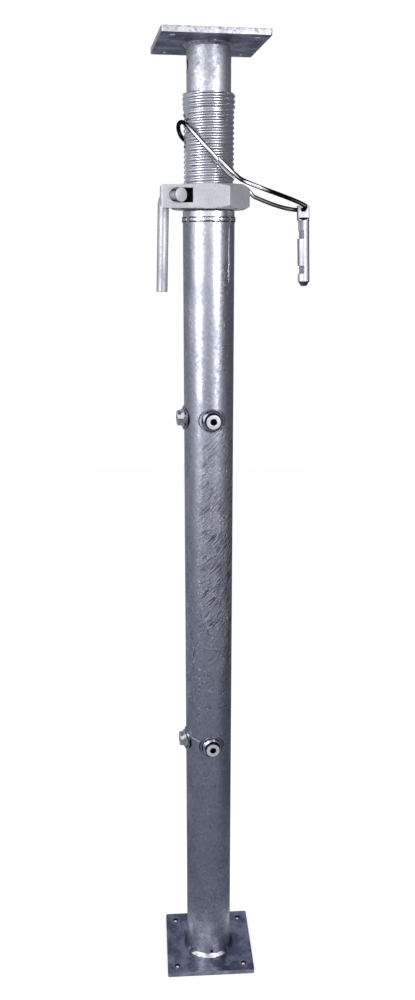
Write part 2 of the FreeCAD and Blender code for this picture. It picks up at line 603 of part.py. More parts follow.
def bent_path(points):
    """Straight runs joined by tangent arcs, each taking the same share of its shorter run."""
    edges = []
    start = points[0]
    for i in range(1, len(points) - 1):
        before = points[i - 1] - points[i]
        after = points[i + 1] - points[i]
        shorter = min(before.Length, after.Length)
        half_turn = (math.pi - before.getAngle(after)) / 2
        reach = RUN_SHARE * shorter
        first = points[i] + before.normalize() * reach
        last = points[i] + after.normalize() * reach
        radius = reach / math.tan(half_turn)
        inward = (before + after).normalize()
        centre = points[i] + inward * (radius / math.cos(half_turn))
        crown = centre - inward * radius
        edges.append(Part.LineSegment(start, first).toShape())
        edges.append(Part.Arc(first, crown, last).toShape())
        start = last
    edges.append(Part.LineSegment(start, points[-1]).toShape())
    return Part.Wire(edges)


def rod_along(points, diameter):
    path = bent_path(points)
    start = points[0]
    section = Part.Wire([Part.makeCircle(diameter / 2, start, points[1] - start)])
    return path.makePipeShell([section], True, True), path


joint_level = value_of(JOINT_LEVEL)
loop_points = [turned_point(x, y, z + joint_level) for x, y, z in LOOP_POINTS]
loop_shape, loop_path = rod_along(loop_points, size("rod_dia"))
loop = doc.addObject("Part::Feature", "pin_loop")
loop.Shape = loop_shape
keep(loop, "pin_loop")
expected = math.pi / 4 * size("rod_dia") ** 2 * loop_path.Length
print("loop volume over section times length: %.4f" % (loop_shape.Volume / expected))

# Weld that joins the loop's two ends.
LAP_POINTS = [(17.5, -47.6, 74.0), (26.0, -47.4, 66.2), (34.5, -47.6, 58.0)]
lap_points = [turned_point(x, y, z + joint_level) for x, y, z in LAP_POINTS]
lap_shape, lap_path = rod_along(lap_points, size("rod_weld_dia"))
lap = doc.addObject("Part::Feature", "lap_bead")
lap.Shape = lap_shape
keep(boolean("Part::Cut", "loop_weld", lap, loop), "loop_weld")

# Locking pin: a bar with a stepped head, flats at the eye, a flat neck and two seat notches on its
# left front side, and a cone at the tip. It is drawn upright with its eye at the origin.
pin = body("locking_pin")
pin_section = sketch(pin, "pin_section", "XZ_Plane")
PIN_TOP = "eye_drop"
PIN_LOW = "( eye_drop - pin_length )"
HEAD_LOW = "( eye_drop - pin_head_long )"
polygon(pin_section, [
    ("0", PIN_TOP), ("pin_head_dia / 2 - pin_head_edge", PIN_TOP),
    ("pin_head_dia / 2", PIN_TOP + " - pin_head_edge"), ("pin_head_dia / 2", HEAD_LOW),
    ("pin_dia / 2", HEAD_LOW + " - pin_head_fall"), ("pin_dia / 2", PIN_LOW + " + pin_tip_long"),
    ("pin_tip_dia / 2", PIN_LOW), ("0", PIN_LOW)])
turned(pin, "PartDesign::Revolution", "pin_turned", pin_section)
flat_section = sketch(pin, "pin_flat_section", "YZ_Plane")
FLAT_FACE = "pin_flat / 2"
FLAT_FOOT = "eye_drop - pin_flat_long"
FLAT_OUT = "pin_head_dia"
FLAT_FALL = FLAT_FOOT + " - ( pin_head_dia - pin_flat / 2 )"
polygon(flat_section, [(FLAT_FACE, "pin_head_dia"), (FLAT_FACE, FLAT_FOOT), (FLAT_OUT, FLAT_FALL),
                       (FLAT_OUT, "pin_head_dia")])
polygon(flat_section, [("0 - " + FLAT_FACE, "pin_head_dia"), ("0 - " + FLAT_OUT, "pin_head_dia"),
                       ("0 - " + FLAT_OUT, FLAT_FALL), ("0 - " + FLAT_FACE, FLAT_FOOT)])
pocket_through(pin, "pin_flats", flat_section)
eye_section = sketch(pin, "eye_outline", "XZ_Plane")
circle(eye_section, "0", "0", "eye_dia / 2")
pocket_through(pin, "pin_eye", eye_section)
notch_section = sketch(pin, "notch_outline", "XZ_Plane")
notch_section.AttachmentOffset = FreeCAD.Placement(
    V(0, 0, 0), FreeCAD.Rotation(V(0, 1, 0), size("notch_aim_angle")))
NOTCH_TOP = "( eye_drop - notch_first + notch_long / 2 )"
NOTCH_OUT = "0 - pin_head_dia"
UPPER_LOW = NOTCH_TOP + " - notch_long"
FLOOR_X = "0 - pin_dia / 2 + notch_deep"
NECK_X = "0 - pin_dia / 2 + neck_deep"
polygon(notch_section, [(NOTCH_OUT, UPPER_LOW), (FLOOR_X, UPPER_LOW), (FLOOR_X, NOTCH_TOP),
                        (NECK_X, NOTCH_TOP), (NECK_X, HEAD_LOW), (NOTCH_OUT, HEAD_LOW)])
polygon(notch_section, [(NOTCH_OUT, UPPER_LOW + " - notch_step"),
                        (FLOOR_X, UPPER_LOW + " - notch_step"),
                        (FLOOR_X, NOTCH_TOP + " - notch_step"),
                        (NOTCH_OUT, NOTCH_TOP + " - notch_step")])
pocket_through(pin, "pin_notches", notch_section)
dimple = sketch(pin, "dimple_section", "XZ_Plane")
DIMPLE_FOOT = PIN_LOW + " - pin_tip_dia / 4"
polygon(dimple, [("0", DIMPLE_FOOT), ("pin_tip_dia / 2", DIMPLE_FOOT),
                 ("0", PIN_LOW + " + pin_tip_dia / 4")])
turned(pin, "PartDesign::Groove", "pin_dimple", dimple)
pin_at = turned_point(size("pin_reach"), 0, 0)
pin_hang = FreeCAD.Rotation(V(0, 1, 0), -size("pin_lean_angle"))
pin.Placement = FreeCAD.Placement(
    pin_at, FreeCAD.Rotation(Z_AXIS, size("nut_turn_angle")) * pin_hang)
bind(pin, Placement__Base__z=JOINT_LEVEL + " + eye_rise")
keep(pin, "locking_pin")

doc.recompute()

# Every object must have built, and every piece must be a sound solid, before anything is written.
for item in doc.Objects:
    if "Invalid" in item.State or "Error" in item.State:
        raise SystemExit("%s did not build: %s" % (item.Name, item.State))
os.makedirs("parts", exist_ok=True)
for feature, name in nodes:
    shape = feature.Shape
    if shape.isNull() or not shape.isValid() or not shape.Solids:
        raise SystemExit("%s is not a sound solid" % name)
for feature, name in nodes:
    feature.Shape.exportStep("parts/%s.step" % name)
    box = feature.Shape.BoundBox
    print("%-18s solids %d volume %10.0f  z %8.1f to %8.1f" % (
        name, len(feature.Shape.Solids), feature.Shape.Volume, box.ZMin, box.ZMax))
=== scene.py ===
# %% [markdown]
# An adjustable steel prop, hot-dip galvanised: two tubes that slide in one another, a threaded
# sleeve with a collar nut, a locking pin on a bent rod, and a square plate at each end.
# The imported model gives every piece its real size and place. This script dresses it: it keeps
# the pieces whose shape is right, remakes the ones that need a finer surface, such as the
# thread and the weld beads, and gives each one its metal.

# %% Load the frame
import json
import math

import bmesh
import bpy
from mathutils import Matrix, Vector, noise


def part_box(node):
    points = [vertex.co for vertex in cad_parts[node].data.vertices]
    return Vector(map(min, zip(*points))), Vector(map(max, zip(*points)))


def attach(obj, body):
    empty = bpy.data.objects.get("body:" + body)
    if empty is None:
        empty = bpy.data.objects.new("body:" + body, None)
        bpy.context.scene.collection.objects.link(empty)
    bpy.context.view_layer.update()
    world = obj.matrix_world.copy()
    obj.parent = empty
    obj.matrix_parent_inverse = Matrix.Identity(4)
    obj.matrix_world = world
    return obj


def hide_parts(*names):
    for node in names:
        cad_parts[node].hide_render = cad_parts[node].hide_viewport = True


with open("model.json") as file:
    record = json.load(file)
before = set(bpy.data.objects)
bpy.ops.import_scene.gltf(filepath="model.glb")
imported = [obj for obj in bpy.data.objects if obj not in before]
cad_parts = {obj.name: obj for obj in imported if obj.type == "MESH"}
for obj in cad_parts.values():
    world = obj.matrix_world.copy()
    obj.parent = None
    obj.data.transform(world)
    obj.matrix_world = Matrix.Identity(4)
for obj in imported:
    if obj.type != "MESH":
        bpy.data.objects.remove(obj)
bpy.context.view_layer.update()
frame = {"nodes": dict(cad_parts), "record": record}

# %% [markdown]
# Sizes are read from the frame where a piece has them, so the dressing follows the model.
# One millimetre is written as MM, because metalwork is measured in millimetres and Blender
# works in metres here.

# %% Sizes from the frame
MM = 0.001


def span(node):
    """Lowest and highest corner of a node."""
    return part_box(node)


foot_top = span("foot_plate")[1].z
head_low, head_top = span("head_plate")[0].z, span("head_plate")[1].z
tube_radius = span("outer_tube")[1].x
inner_radius = span("inner_tube")[1].x
sleeve_low, sleeve_top = span("threaded_sleeve")[0].z, span("threaded_sleeve")[1].z
nut_low = span("collar_nut")[0].z
print("tube radius", tube_radius, "sleeve", sleeve_low, sleeve_top, "nut", nut_low)

# %% [markdown]
# The camera stands in front of the prop and a little to its left, at about the height of the
# nut, and looks down at it. It is close, about 1.4 m away, which is why the plates show so much
# perspective. Its place was found by fitting the plates, tubes and nut to the photograph.

# %% Camera
CAMERA_TURN = math.radians(-8.7)
CAMERA_DISTANCE = 1.4305
CAMERA_HEIGHT = 1.2096
CAMERA_ASIDE = 0.0018
CAMERA_PITCH = math.radians(14.787)
LENS_MM = 33.64
SENSOR_MM = 36.0

camera_data = bpy.data.cameras.new("camera")
camera_data.lens = LENS_MM
camera_data.sensor_width = SENSOR_MM
camera = bpy.data.objects.new("camera", camera_data)
bpy.context.scene.collection.objects.link(camera)
camera.location = (
    CAMERA_DISTANCE * math.sin(CAMERA_TURN),
    -CAMERA_DISTANCE * math.cos(CAMERA_TURN),
    CAMERA_HEIGHT,
)
camera.location += Vector((-math.cos(CAMERA_TURN), -math.sin(CAMERA_TURN), 0.0)) * CAMERA_ASIDE
camera.rotation_euler = (math.pi / 2 - CAMERA_PITCH, 0.0, CAMERA_TURN)
bpy.context.scene.camera = camera
bpy.context.scene.view_settings.view_transform = "Standard"
print("camera at", tuple(camera.location))

# %% [markdown]
# Colours are picked as sRGB hex values, the way they look on a screen, but the shaders want
# linear light, so one function turns one into the other. A second one adds a node with its
# settings and links in one line, which keeps long node trees readable.

# %% Colour and node helpers


def linear(code):
    """An sRGB hex colour as linear RGBA."""
    out = []
    for i in (0, 2, 4):
        value = int(code[i:i + 2], 16) / 255
        out.append(value / 12.92 if value <= 0.04045 else ((value + 0.055) / 1.055) ** 2.4)
    return (*out, 1.0)


def add(tree, kind, settings=None, links=None):
    """Adds a node, sets its properties or sockets, and links sockets from other nodes."""
    node = tree.nodes.new(kind)
    for name, value in (settings or {}).items():
        if isinstance(name, str) and hasattr(node, name):
            setattr(node, name, value)
        else:
            node.inputs[name].default_value = value
    for name, source in (links or {}).items():
        tree.links.new(source, node.inputs[name])
    return node


def new_material(name):
    """An empty node material with its output and a Principled shader."""
    material = bpy.data.materials.new(name)
    material.use_nodes = True
    tree = material.node_tree
    tree.nodes.clear()
    shader = add(tree, "ShaderNodeBsdfPrincipled")
    add(tree, "ShaderNodeOutputMaterial", links={"Surface": shader.outputs["BSDF"]})
    return material, tree, shader


print("white is", linear("ffffff"))

# %% [markdown]
# Patterns are built from a few steps that come back again and again: coordinates, arithmetic,
# a change of range, a mix of two colours, and noise. Each gets a helper. The patterns use
# object coordinates in metres and their sizes are given in millimetres, so a grain has its
# real size on every piece.

# %% Pattern helpers


def per_metre(size_mm):
    """The texture scale that makes a pattern's cells this many millimetres wide."""
    return 1000.0 / size_mm


def mapped(tree, stretch=(1.0, 1.0, 1.0)):
    """Object coordinates in metres, squeezed along each axis by a factor."""
    place = add(tree, "ShaderNodeTexCoord")
    mapping = add(tree, "ShaderNodeMapping", {"Scale": stretch},
                  {"Vector": place.outputs["Object"]})
    return mapping.outputs[0]


def math_node(tree, operation, first, second=0.0):
    """One arithmetic step; each side is a socket or a number."""
    node = add(tree, "ShaderNodeMath", {"operation": operation})
    for slot, value in ((0, first), (1, second)):
        if isinstance(value, (int, float)):
            node.inputs[slot].default_value = value
        else:
            tree.links.new(value, node.inputs[slot])
    return node.outputs[0]


def ranged(tree, value, low, high, to_low=0.0, to_high=1.0):
    """The value moved from one range to another, with soft ends."""
    node = add(tree, "ShaderNodeMapRange",
               {"interpolation_type": "SMOOTHSTEP", "From Min": low, "From Max": high,
                "To Min": to_low, "To Max": to_high}, {"Value": value})
    return node.outputs[0]


def mixed(tree, amount, first, second, blend="MIX"):
    """Two colours mixed by a socket; each is a hex code, a grey level or a socket."""
    node = add(tree, "ShaderNodeMix", {"data_type": "RGBA", "blend_type": blend}, {0: amount})
    for slot, value in ((6, first), (7, second)):
        if isinstance(value, str):
            node.inputs[slot].default_value = linear(value)
        elif isinstance(value, float):
            node.inputs[slot].default_value = (value, value, value, 1.0)
        else:
            tree.links.new(value, node.inputs[slot])
    return node.outputs[2]


def noise_of(tree, size_mm, vector, detail=2.0, roughness=0.5):
    """A noise whose blobs are about this many millimetres wide."""
    node = add(tree, "ShaderNodeTexNoise",
               {"Scale": per_metre(size_mm), "Detail": detail, "Roughness": roughness},
               {"Vector": vector})
    return node.outputs[0]


print("a 4 mm grain needs a scale of", per_metre(4.0))

# %% [markdown]
# Hot-dip galvanised steel is dipped whole in molten zinc. The coat freezes in grains, the
# spangle, that each shine a little differently, and it weathers to a dull blue-grey, in clouds.
# The grains are a Voronoi pattern, whose cells each carry random colours: one serves as the
# grain's tone and one as its height. The clouds are soft noise, stretched along the tube, and
# a fine noise gives the skin its grit. Small bright and dull flecks lie over all of it.

# %% Grains, clouds and flecks


def zinc_grains(tree, place, spangle_mm):
    """Two random levels for each grain of the spangle: its tone and its height."""
    cells = add(tree, "ShaderNodeTexVoronoi", {"Scale": per_metre(spangle_mm)},
                {"Vector": place})
    cell = add(tree, "ShaderNodeSeparateColor", links={0: cells.outputs["Color"]})
    return cell.outputs[0], cell.outputs[1]


def zinc_shade(tree, tone, grit, cloud_mm, grain, clouds):
    """How dull the skin is at each point: grains, clouds and grit added up."""
    cloud = noise_of(tree, cloud_mm, mapped(tree, (1.0, 1.0, 0.5)), 5.0, 0.62)
    shade = math_node(tree, "MULTIPLY", tone, grain)
    shade = math_node(tree, "ADD", shade, ranged(tree, cloud, 0.36, 0.66, 0.0, clouds))
    return math_node(tree, "ADD", shade, ranged(tree, grit, 0.35, 0.7, -0.12, 0.12))


# The bright flecks are partly the zinc's own pale specks and partly painted highlight, for glints
# of the spangle.
def flecked(tree, place, size_mm, amount, base):
    """The colour with small bright and dull flecks; amount is a number or a socket."""
    bright = ranged(tree, noise_of(tree, size_mm, place), 0.62, 0.70)
    dull = ranged(tree, noise_of(tree, size_mm * 1.3, place), 0.40, 0.33)
    for spots, factor in ((bright, 2.0), (dull, 0.4)):
        base = mixed(tree, math_node(tree, "MULTIPLY", spots, amount), base, factor, "MULTIPLY")
    return base


# %% [markdown]
# The long tube's colour follows the height, as a ladder of levels: pale at its top and darker
# at its foot, which is painted shade for the light falling off towards the floor. On its front it
# is scuffed in diagonal strokes, as when props rub on each other in the yard, and below them the
# zinc froze in fine wrinkles. The strokes are a noise that is squeezed along one diagonal of the
# unrolled skin. The wrinkles are the thin lines where a noise passes one level, like contour
# lines on a map.

# %% Marks of the long tube
RUB_SQUEEZE = 0.09
RUB_FADE = 0.12
RUB_MM = 3.0
WRINKLE_MM = 16.0


def colour_by_level(tree, z, ladder):
    """The colour at each height, blended between (level, colour) steps."""
    top = ladder[-1][0]
    ramp = add(tree, "ShaderNodeValToRGB", links={0: math_node(tree, "DIVIDE", z, top)})
    steps = ramp.color_ramp.elements
    while len(steps) < len(ladder):
        steps.new(0.5)
    for step, (level, code) in zip(steps, ladder):
        step.position = level / top
        step.color = linear(code)
    return ramp.outputs[0]


def rubbed(tree, place, axes, zone, base, height):
    """Diagonal scuffs on the front and right of the tube, between two levels."""
    x, y, z = axes
    low, high = zone
    angle = math_node(tree, "ARCTAN2", y, x)
    along = math_node(tree, "MULTIPLY", angle, tube_radius)
    rise = math_node(tree, "SUBTRACT", z, along)
    across = math_node(tree, "MULTIPLY", math_node(tree, "ADD", z, along), RUB_SQUEEZE)
    lines = add(tree, "ShaderNodeCombineXYZ", links={0: rise, 1: across})
    stroke = noise_of(tree, RUB_MM, lines.outputs[0], 3.0, 0.6)
    patch = ranged(tree, noise_of(tree, 45.0, place, 3.0), 0.38, 0.55, 0.25, 1.0)
    where = math_node(tree, "MULTIPLY", ranged(tree, z, low, low + RUB_FADE),
                      ranged(tree, z, high, high - RUB_FADE))
    side = ranged(tree, x, -30 * MM, -4 * MM)
    where = math_node(tree, "MULTIPLY", math_node(tree, "MULTIPLY", where, side), patch)
    dark_rub = math_node(tree, "MULTIPLY", ranged(tree, stroke, 0.50, 0.56), where)
    pale_rub = math_node(tree, "MULTIPLY", ranged(tree, stroke, 0.46, 0.38), where)
    base = mixed(tree, dark_rub, base, 0.32, "MULTIPLY")
    base = mixed(tree, pale_rub, base, 1.5, "MULTIPLY")
    return base, math_node(tree, "SUBTRACT", height, math_node(tree, "MULTIPLY", dark_rub, 1.6))


def wrinkled(tree, place, z, base):
    """Thin pale and dark contour lines, in patches, below the scuffs."""
    wave = noise_of(tree, WRINKLE_MM, place, 3.0)
    patch = ranged(tree, noise_of(tree, 34.0, place, 2.0), 0.40, 0.56)
    zone = math_node(tree, "MULTIPLY", ranged(tree, z, 0.78, 0.60, 0.0, 1.0),
                     ranged(tree, z, 0.30, 0.55, 0.5, 1.0))
    patch = math_node(tree, "MULTIPLY", patch, zone)
    for middle, factor in ((0.49, 1.7), (0.525, 0.42)):
        off = math_node(tree, "ABSOLUTE", math_node(tree, "SUBTRACT", wave, middle))
        line = math_node(tree, "MULTIPLY", ranged(tree, off, 0.020, 0.004), patch)
        base = mixed(tree, line, base, factor, "MULTIPLY")
    return base


# %% [markdown]
# Some pieces get a dark part that their outline alone doesn't give, as painted shade. The inside
# of a tube gets no light, so it is painted dark within a radius of the prop's axis. A boss and
# the weld at its foot keep their colour only between two circles round the boss's own axis, and
# are painted dark as crease shade in the corners. A bolt hole's wall is painted dark as shade at
# its upper lip. A round bar gets dark edges as a painted reflection of the dark sides of the
# room: Layer Weight finds them from any side.

# %% Painted shade and dark rims
# Painted shade for crease bands and hole lips, and the dark of a painted reflection in bar rims:
DEEP = "1c1e28"
LIP_SHADE_DARK = "1b1d26"
RIM_REFLECTION_DARK = "14151c"
BORE_SHARE = 0.04


def dark_bore(tree, axes, radius, base):
    """Dark within this radius of the prop's axis."""
    flat = add(tree, "ShaderNodeCombineXYZ", links={0: axes[0], 1: axes[1]})
    away = add(tree, "ShaderNodeVectorMath", {"operation": "LENGTH"}, {0: flat.outputs[0]})
    inside = ranged(tree, away.outputs["Value"], radius, radius - 1.0 * MM)
    return mixed(tree, inside, base, BORE_SHARE, "MULTIPLY")


# Painted crease shade: a boss or its weld is darkened nearer its axis than one distance and
# farther than another.
def shade_outside_band(tree, place, hub, base):
    """Dark nearer to a hub's axis than one distance and farther than another."""
    point, out, near, far = hub
    arm = add(tree, "ShaderNodeVectorMath", {"operation": "SUBTRACT", 1: point}, {0: place})
    turned = add(tree, "ShaderNodeVectorMath", {"operation": "CROSS_PRODUCT", 1: out},
                 {0: arm.outputs[0]})
    off = add(tree, "ShaderNodeVectorMath", {"operation": "LENGTH"}, {0: turned.outputs[0]})
    neck = ranged(tree, off.outputs["Value"], near + 0.4 * MM, near - 0.4 * MM)
    toe = ranged(tree, off.outputs["Value"], far - 0.5 * MM, far + 0.5 * MM)
    return mixed(tree, math_node(tree, "MAXIMUM", neck, toe), base, DEEP)


# Painted reflection: a round bar's rims are darkened by Layer Weight as the dark room mirrored in
# its edges.
def dark_rim(tree, shader, rim, base):
    """Dark edges on a round bar, in its colour and in both of its reflections."""
    facing = add(tree, "ShaderNodeLayerWeight", {"Blend": 0.5}).outputs["Facing"]
    edge = ranged(tree, facing, rim[0], rim[1])
    tree.links.new(mixed(tree, edge, "ffffff", RIM_REFLECTION_DARK), shader.inputs["Specular Tint"])
    tree.links.new(ranged(tree, facing, rim[0], rim[1], 0.5, 0.0),
                   shader.inputs["Specular IOR Level"])
    return mixed(tree, edge, base, RIM_REFLECTION_DARK)


# %% [markdown]
# One function makes every zinc finish from these steps, because all the pieces hang in the same
# bath and differ only in how smooth, how pale and how worn they are. The roughness follows the
# same pattern as the colour: a grain that looks lighter is also smoother. A Bump node lifts the
# grains and the grit by their real height.

# %% The zinc finish


def galvanised(name, pale, dark, rough=0.36, spangle_mm=4.0, cloud_mm=30.0, grit_mm=1.6,
               grain=0.30, clouds=0.6, bump_mm=0.12, fleck=0.22, fleck_mm=1.3, rim=None,
               ladder=None, rubs=None, bore=None, lip=None, hub=None, metal=1.0):
    """Zinc on steel. ladder gives the colour at some levels, which on the long tube is painted
    shade, darker towards its foot, rubs the scuffed levels of the long tube, rim how far from the
    middle of a round bar its painted dark reflections start and end, bore the radius about the
    prop's axis inside which a tube is painted dark as shade, lip the level above which a hole's
    wall is painted dark as shade, hub a point, a direction and the distances from that axis
    between which a boss or its weld keeps its colour, with painted crease shade nearer and
    farther, and metal is lower where the skin is matt."""
    material, tree, shader = new_material(name)
    place = mapped(tree)
    axes = add(tree, "ShaderNodeSeparateXYZ", links={0: place}).outputs[:]
    z = axes[2]
    tone, grain_height = zinc_grains(tree, place, spangle_mm)
    grit = noise_of(tree, grit_mm, place, 3.0, 0.6)
    shade = zinc_shade(tree, tone, grit, cloud_mm, grain, clouds)
    height = math_node(tree, "ADD", math_node(tree, "MULTIPLY", grain_height, 0.4), grit)
    gloss = ranged(tree, shade, 0.0, 0.9, rough - 0.06, rough + 0.14)
    if ladder:
        # With a ladder, the colour by height is painted shade on the long tube, darker towards
        # its foot.
        base = mixed(tree, shade, colour_by_level(tree, z, ladder), dark, "MULTIPLY")
        gloss = math_node(tree, "ADD", gloss, ranged(tree, z, 1.15, 0.75, 0.0, 0.08))
        fleck = ranged(tree, z, 1.1, 0.7, fleck * 0.7, fleck * 1.3)
    else:
        base = mixed(tree, shade, pale, dark)
    if rubs:
        base, height = rubbed(tree, place, axes, rubs, base, height)
        base = wrinkled(tree, place, z, base)
    base = flecked(tree, place, fleck_mm, fleck, base)
    if bore:
        base = dark_bore(tree, axes, bore, base)
    if hub:
        base = shade_outside_band(tree, place, hub, base)
    if lip:
        # Painted shade: a hole's wall darkens above its lip.
        base = mixed(tree, ranged(tree, z, lip, lip + 0.6 * MM), base, LIP_SHADE_DARK)
    if rim:
        base = dark_rim(tree, shader, rim, base)
    tree.links.new(base, shader.inputs["Base Color"])
    tree.links.new(gloss, shader.inputs["Roughness"])
    shader.inputs["Metallic"].default_value = metal
    bump = add(tree, "ShaderNodeBump", {"Strength": 0.6, "Distance": bump_mm * MM},
               {"Height": height})
    tree.links.new(bump.outputs[0], shader.inputs["Normal"])
    return material


# %% [markdown]
# Tubes and plates are rolled steel. The plates lie flat in the bath and drain slowly, so their
# coat is smooth, with large grains and strong clouds. Sheared edges are coarse. Drilled holes
# are pale inside; a foot hole's wall is painted white low down, as light from the floor below,
# and painted dark as shade above it.

# %% Finishes of tubes and plates
# Painted shade: the tube's colour darkens from its top to its foot, as the light falls off.
TUBE_SHADE_LADDER = [(0.0, "abaeb8"), (0.60, "b0b3bc"), (1.00, "bcbec7"), (1.20, "c5c7ce"),
               (1.32, "cbcdd4")]
tube_zinc = galvanised("galvanised_tube", "ffffff", "b9bdc9", ladder=TUBE_SHADE_LADDER,
                       rubs=(0.52, 0.99), rough=0.32, grit_mm=5.0, bump_mm=0.40,
                       fleck=0.28, fleck_mm=3.2, bore=tube_radius - 0.5 * MM)
inner_zinc = galvanised("galvanised_inner_tube", "c3c6ce", "8f92a0", rough=0.50, grit_mm=5.0,
                        bump_mm=0.40, fleck=0.4, fleck_mm=4.0, bore=inner_radius - 0.5 * MM)
plate_zinc = galvanised("galvanised_plate", "acafba", "70748a", rough=0.16, spangle_mm=7.0,
                        cloud_mm=30.0, clouds=1.0, fleck_mm=5.0)
# Painted shade: a darker finish for faces turned down or away from the light: the head plate's
# underside, the foot plate's sides and the pin's tip.
shaded_underside_zinc = galvanised("galvanised_underside", "7f828e", "5b5e6b", rough=0.35, spangle_mm=7.0,
                        cloud_mm=26.0, clouds=0.8)
edge_zinc = galvanised("sheared_edge", "c6c8cf", "7a7d8a", rough=0.48, spangle_mm=3.0,
                       cloud_mm=9.0, clouds=0.35, grit_mm=2.5, bump_mm=0.7, fleck=0.8,
                       fleck_mm=3.0)
wall_zinc = galvanised("head_hole_wall", "c9cbd3", "a3a6b2", rough=0.50)
# Painted light: a narrow strip low on each foot hole's far wall is white for the lit floor below,
# and painted dark as shade above its lip.
painted_light_wall_zinc = galvanised("foot_hole_painted_light", "ffffff", "e6e6ec", rough=0.50, lip=3.2 * MM)
print("tube ladder", TUBE_SHADE_LADDER)

# %% [markdown]
# Weld beads are smoother and brighter than rolled steel where they face out, and dull, with
# painted crease shade, in their toes. The rolled thread has the finest grain. Painted shade in
# holes and toes gets finishes of its own, which second_finish gives to chosen faces further down.

# %% Finishes of the thread and the welds
thread_zinc = galvanised("galvanised_thread", "e8eaef", "bcbfca", rough=0.26, spangle_mm=3.0,
                         bump_mm=0.05)
weld_zinc = galvanised("galvanised_weld", "d3d5dc", "9b9fac", rough=0.24, spangle_mm=2.5,
                       bump_mm=0.25)
# Partly painted shade: a dark, rough bead finish for the sides of the foot weld, which turn away
# from the light.
shaded_bead_zinc = galvanised("galvanised_bead", "656876", "434656", rough=0.50, spangle_mm=2.5,
                       bump_mm=0.25)
foot_zinc = galvanised("galvanised_foot_weld", "d6d7dc", "686b7a", rough=0.36, grain=0.05,
                       clouds=0.8, cloud_mm=9.0, grit_mm=5.0, bump_mm=0.20)
# Painted shade as dark lines: the butt weld's toes, the nut's lower edge and the pin eye's
# slopes, where it also stands for a dark reflection.
shade_line_zinc = galvanised("weld_toe", "3a3d4a", "242630", rough=0.50)
# Painted shade in recesses: the bosses' holes, the nut's slot and the foot plate's holes.
shade_inside_zinc = galvanised("painted_shade_inside", "23252d", "15161c", rough=0.60, fleck=0.05)
print("weld finishes", weld_zinc.name, shaded_bead_zinc.name, foot_zinc.name)

# %% [markdown]
# The nut is cast, and its skin is matt: a lower Metallic value lets it shine evenly from all
# sides. The handle, the pin and the loop are bars with a thin, bright coat, and their rims are
# painted dark as a reflection of the dark room; the loop is the brightest.

# %% Finishes of the nut and the bars
nut_zinc = galvanised("galvanised_casting", "b6b7bc", "9a9ca4", rough=0.46, spangle_mm=2.0,
                      grit_mm=2.0, bump_mm=0.25, clouds=0.4, metal=0.5)
bar_zinc = galvanised("zinc_plated_bar", "bec0c7", "999ca7", rough=0.44, spangle_mm=2.4,
                      rim=(0.48, 0.84), metal=0.7)
pin_zinc = galvanised("zinc_plated_pin", "d9dae0", "b4b6c0", rough=0.40, spangle_mm=2.4,
                      rim=(0.32, 0.60), metal=0.7)
rod_zinc = galvanised("bright_zinc_rod", "f2f3f6", "d6d8df", rough=0.16, spangle_mm=2.0,
                      bump_mm=0.03, clouds=0.3, rim=(0.09, 0.31), metal=0.6)
tip_zinc = galvanised("galvanised_boss_tip", "c9cad0", "a2a4af", rough=0.40, spangle_mm=3.0,
                      metal=0.5)
notch_zinc = galvanised("pin_notch", "a4a6b0", "7b7e8b", rough=0.60, metal=0.4)
print("bar finishes", bar_zinc.name, pin_zinc.name, rod_zinc.name)

# %% [markdown]
# Every node of the model gets its finish; the ones not listed are bosses and welds, which are
# dull until a later step dresses them again. A piece made later needs to know the body that
# carries it when the prop moves, which the record gives.

# %% Dress the nodes
FINISH = {
    "foot_plate": plate_zinc, "head_plate": plate_zinc, "stop_ring": plate_zinc,
    "outer_tube": tube_zinc, "inner_tube": inner_zinc, "threaded_sleeve": thread_zinc,
    "collar_nut": nut_zinc, "nut_handle": bar_zinc, "locking_pin": pin_zinc,
    "pin_loop": rod_zinc, "loop_weld": rod_zinc, "foot_weld": foot_zinc,
    "head_weld": foot_zinc,
}


def dress(piece, material):
    """Gives a piece this one material."""
    piece.data.materials.clear()
    piece.data.materials.append(material)


def body_of_node(node):
    """The body that carries a node."""
    for body, members in frame["record"]["behaviour"]["bodies"].items():
        if node in members:
            return body
    return None


for node_name, node in frame["nodes"].items():
    dress(node, FINISH.get(node_name, shaded_bead_zinc))
print("dressed", len(frame["nodes"]), "nodes")

# %% [markdown]
# Helpers for new shapes. Round work is one closed outline, drawn once for each step round the
# axis and joined into a skin. A ring whose outline changes a little at each step is a weld bead,
# and one whose outline climbs is a thread.

# %% Mesh helpers


def object_from(name, points, faces, smooth=True):
    """A new object from points and faces, with its faces turned outwards."""
    mesh = bpy.data.meshes.new(name)
    mesh.from_pydata(points, [], faces)
    mesh.validate()
    made = bpy.data.objects.new(name, mesh)
    bpy.context.scene.collection.objects.link(made)
    work = bmesh.new()
    work.from_mesh(mesh)
    bmesh.ops.recalc_face_normals(work, faces=work.faces)
    for face in work.faces:
        face.smooth = smooth
    work.to_mesh(mesh)
    work.free()
    return made


def ring_skin(name, outline_at, steps):
    """A closed ring: outline_at(angle) gives the same number of (radius, height) points."""
    points = []
    for i in range(steps):
        angle = 2 * math.pi * i / steps
        for radius, height in outline_at(angle):
            points.append((radius * math.cos(angle), radius * math.sin(angle), height))
    count = len(points) // steps
    faces = []
    for i in range(steps):
        after = (i + 1) % steps
        for j in range(count):
            k = (j + 1) % count
            faces.append((i * count + j, after * count + j, after * count + k, i * count + k))
    return object_from(name, points, faces)


def sharp_by_angle(piece, degrees):
    """Smooth shading that breaks at edges sharper than an angle."""
    limit = math.radians(degrees)
    work = bmesh.new()
    work.from_mesh(piece.data)
    for face in work.faces:
        face.smooth = True
    for edge in work.edges:
        if len(edge.link_faces) == 2 and edge.calc_face_angle(0.0) > limit:
            edge.smooth = False
    work.to_mesh(piece.data)
    work.free()


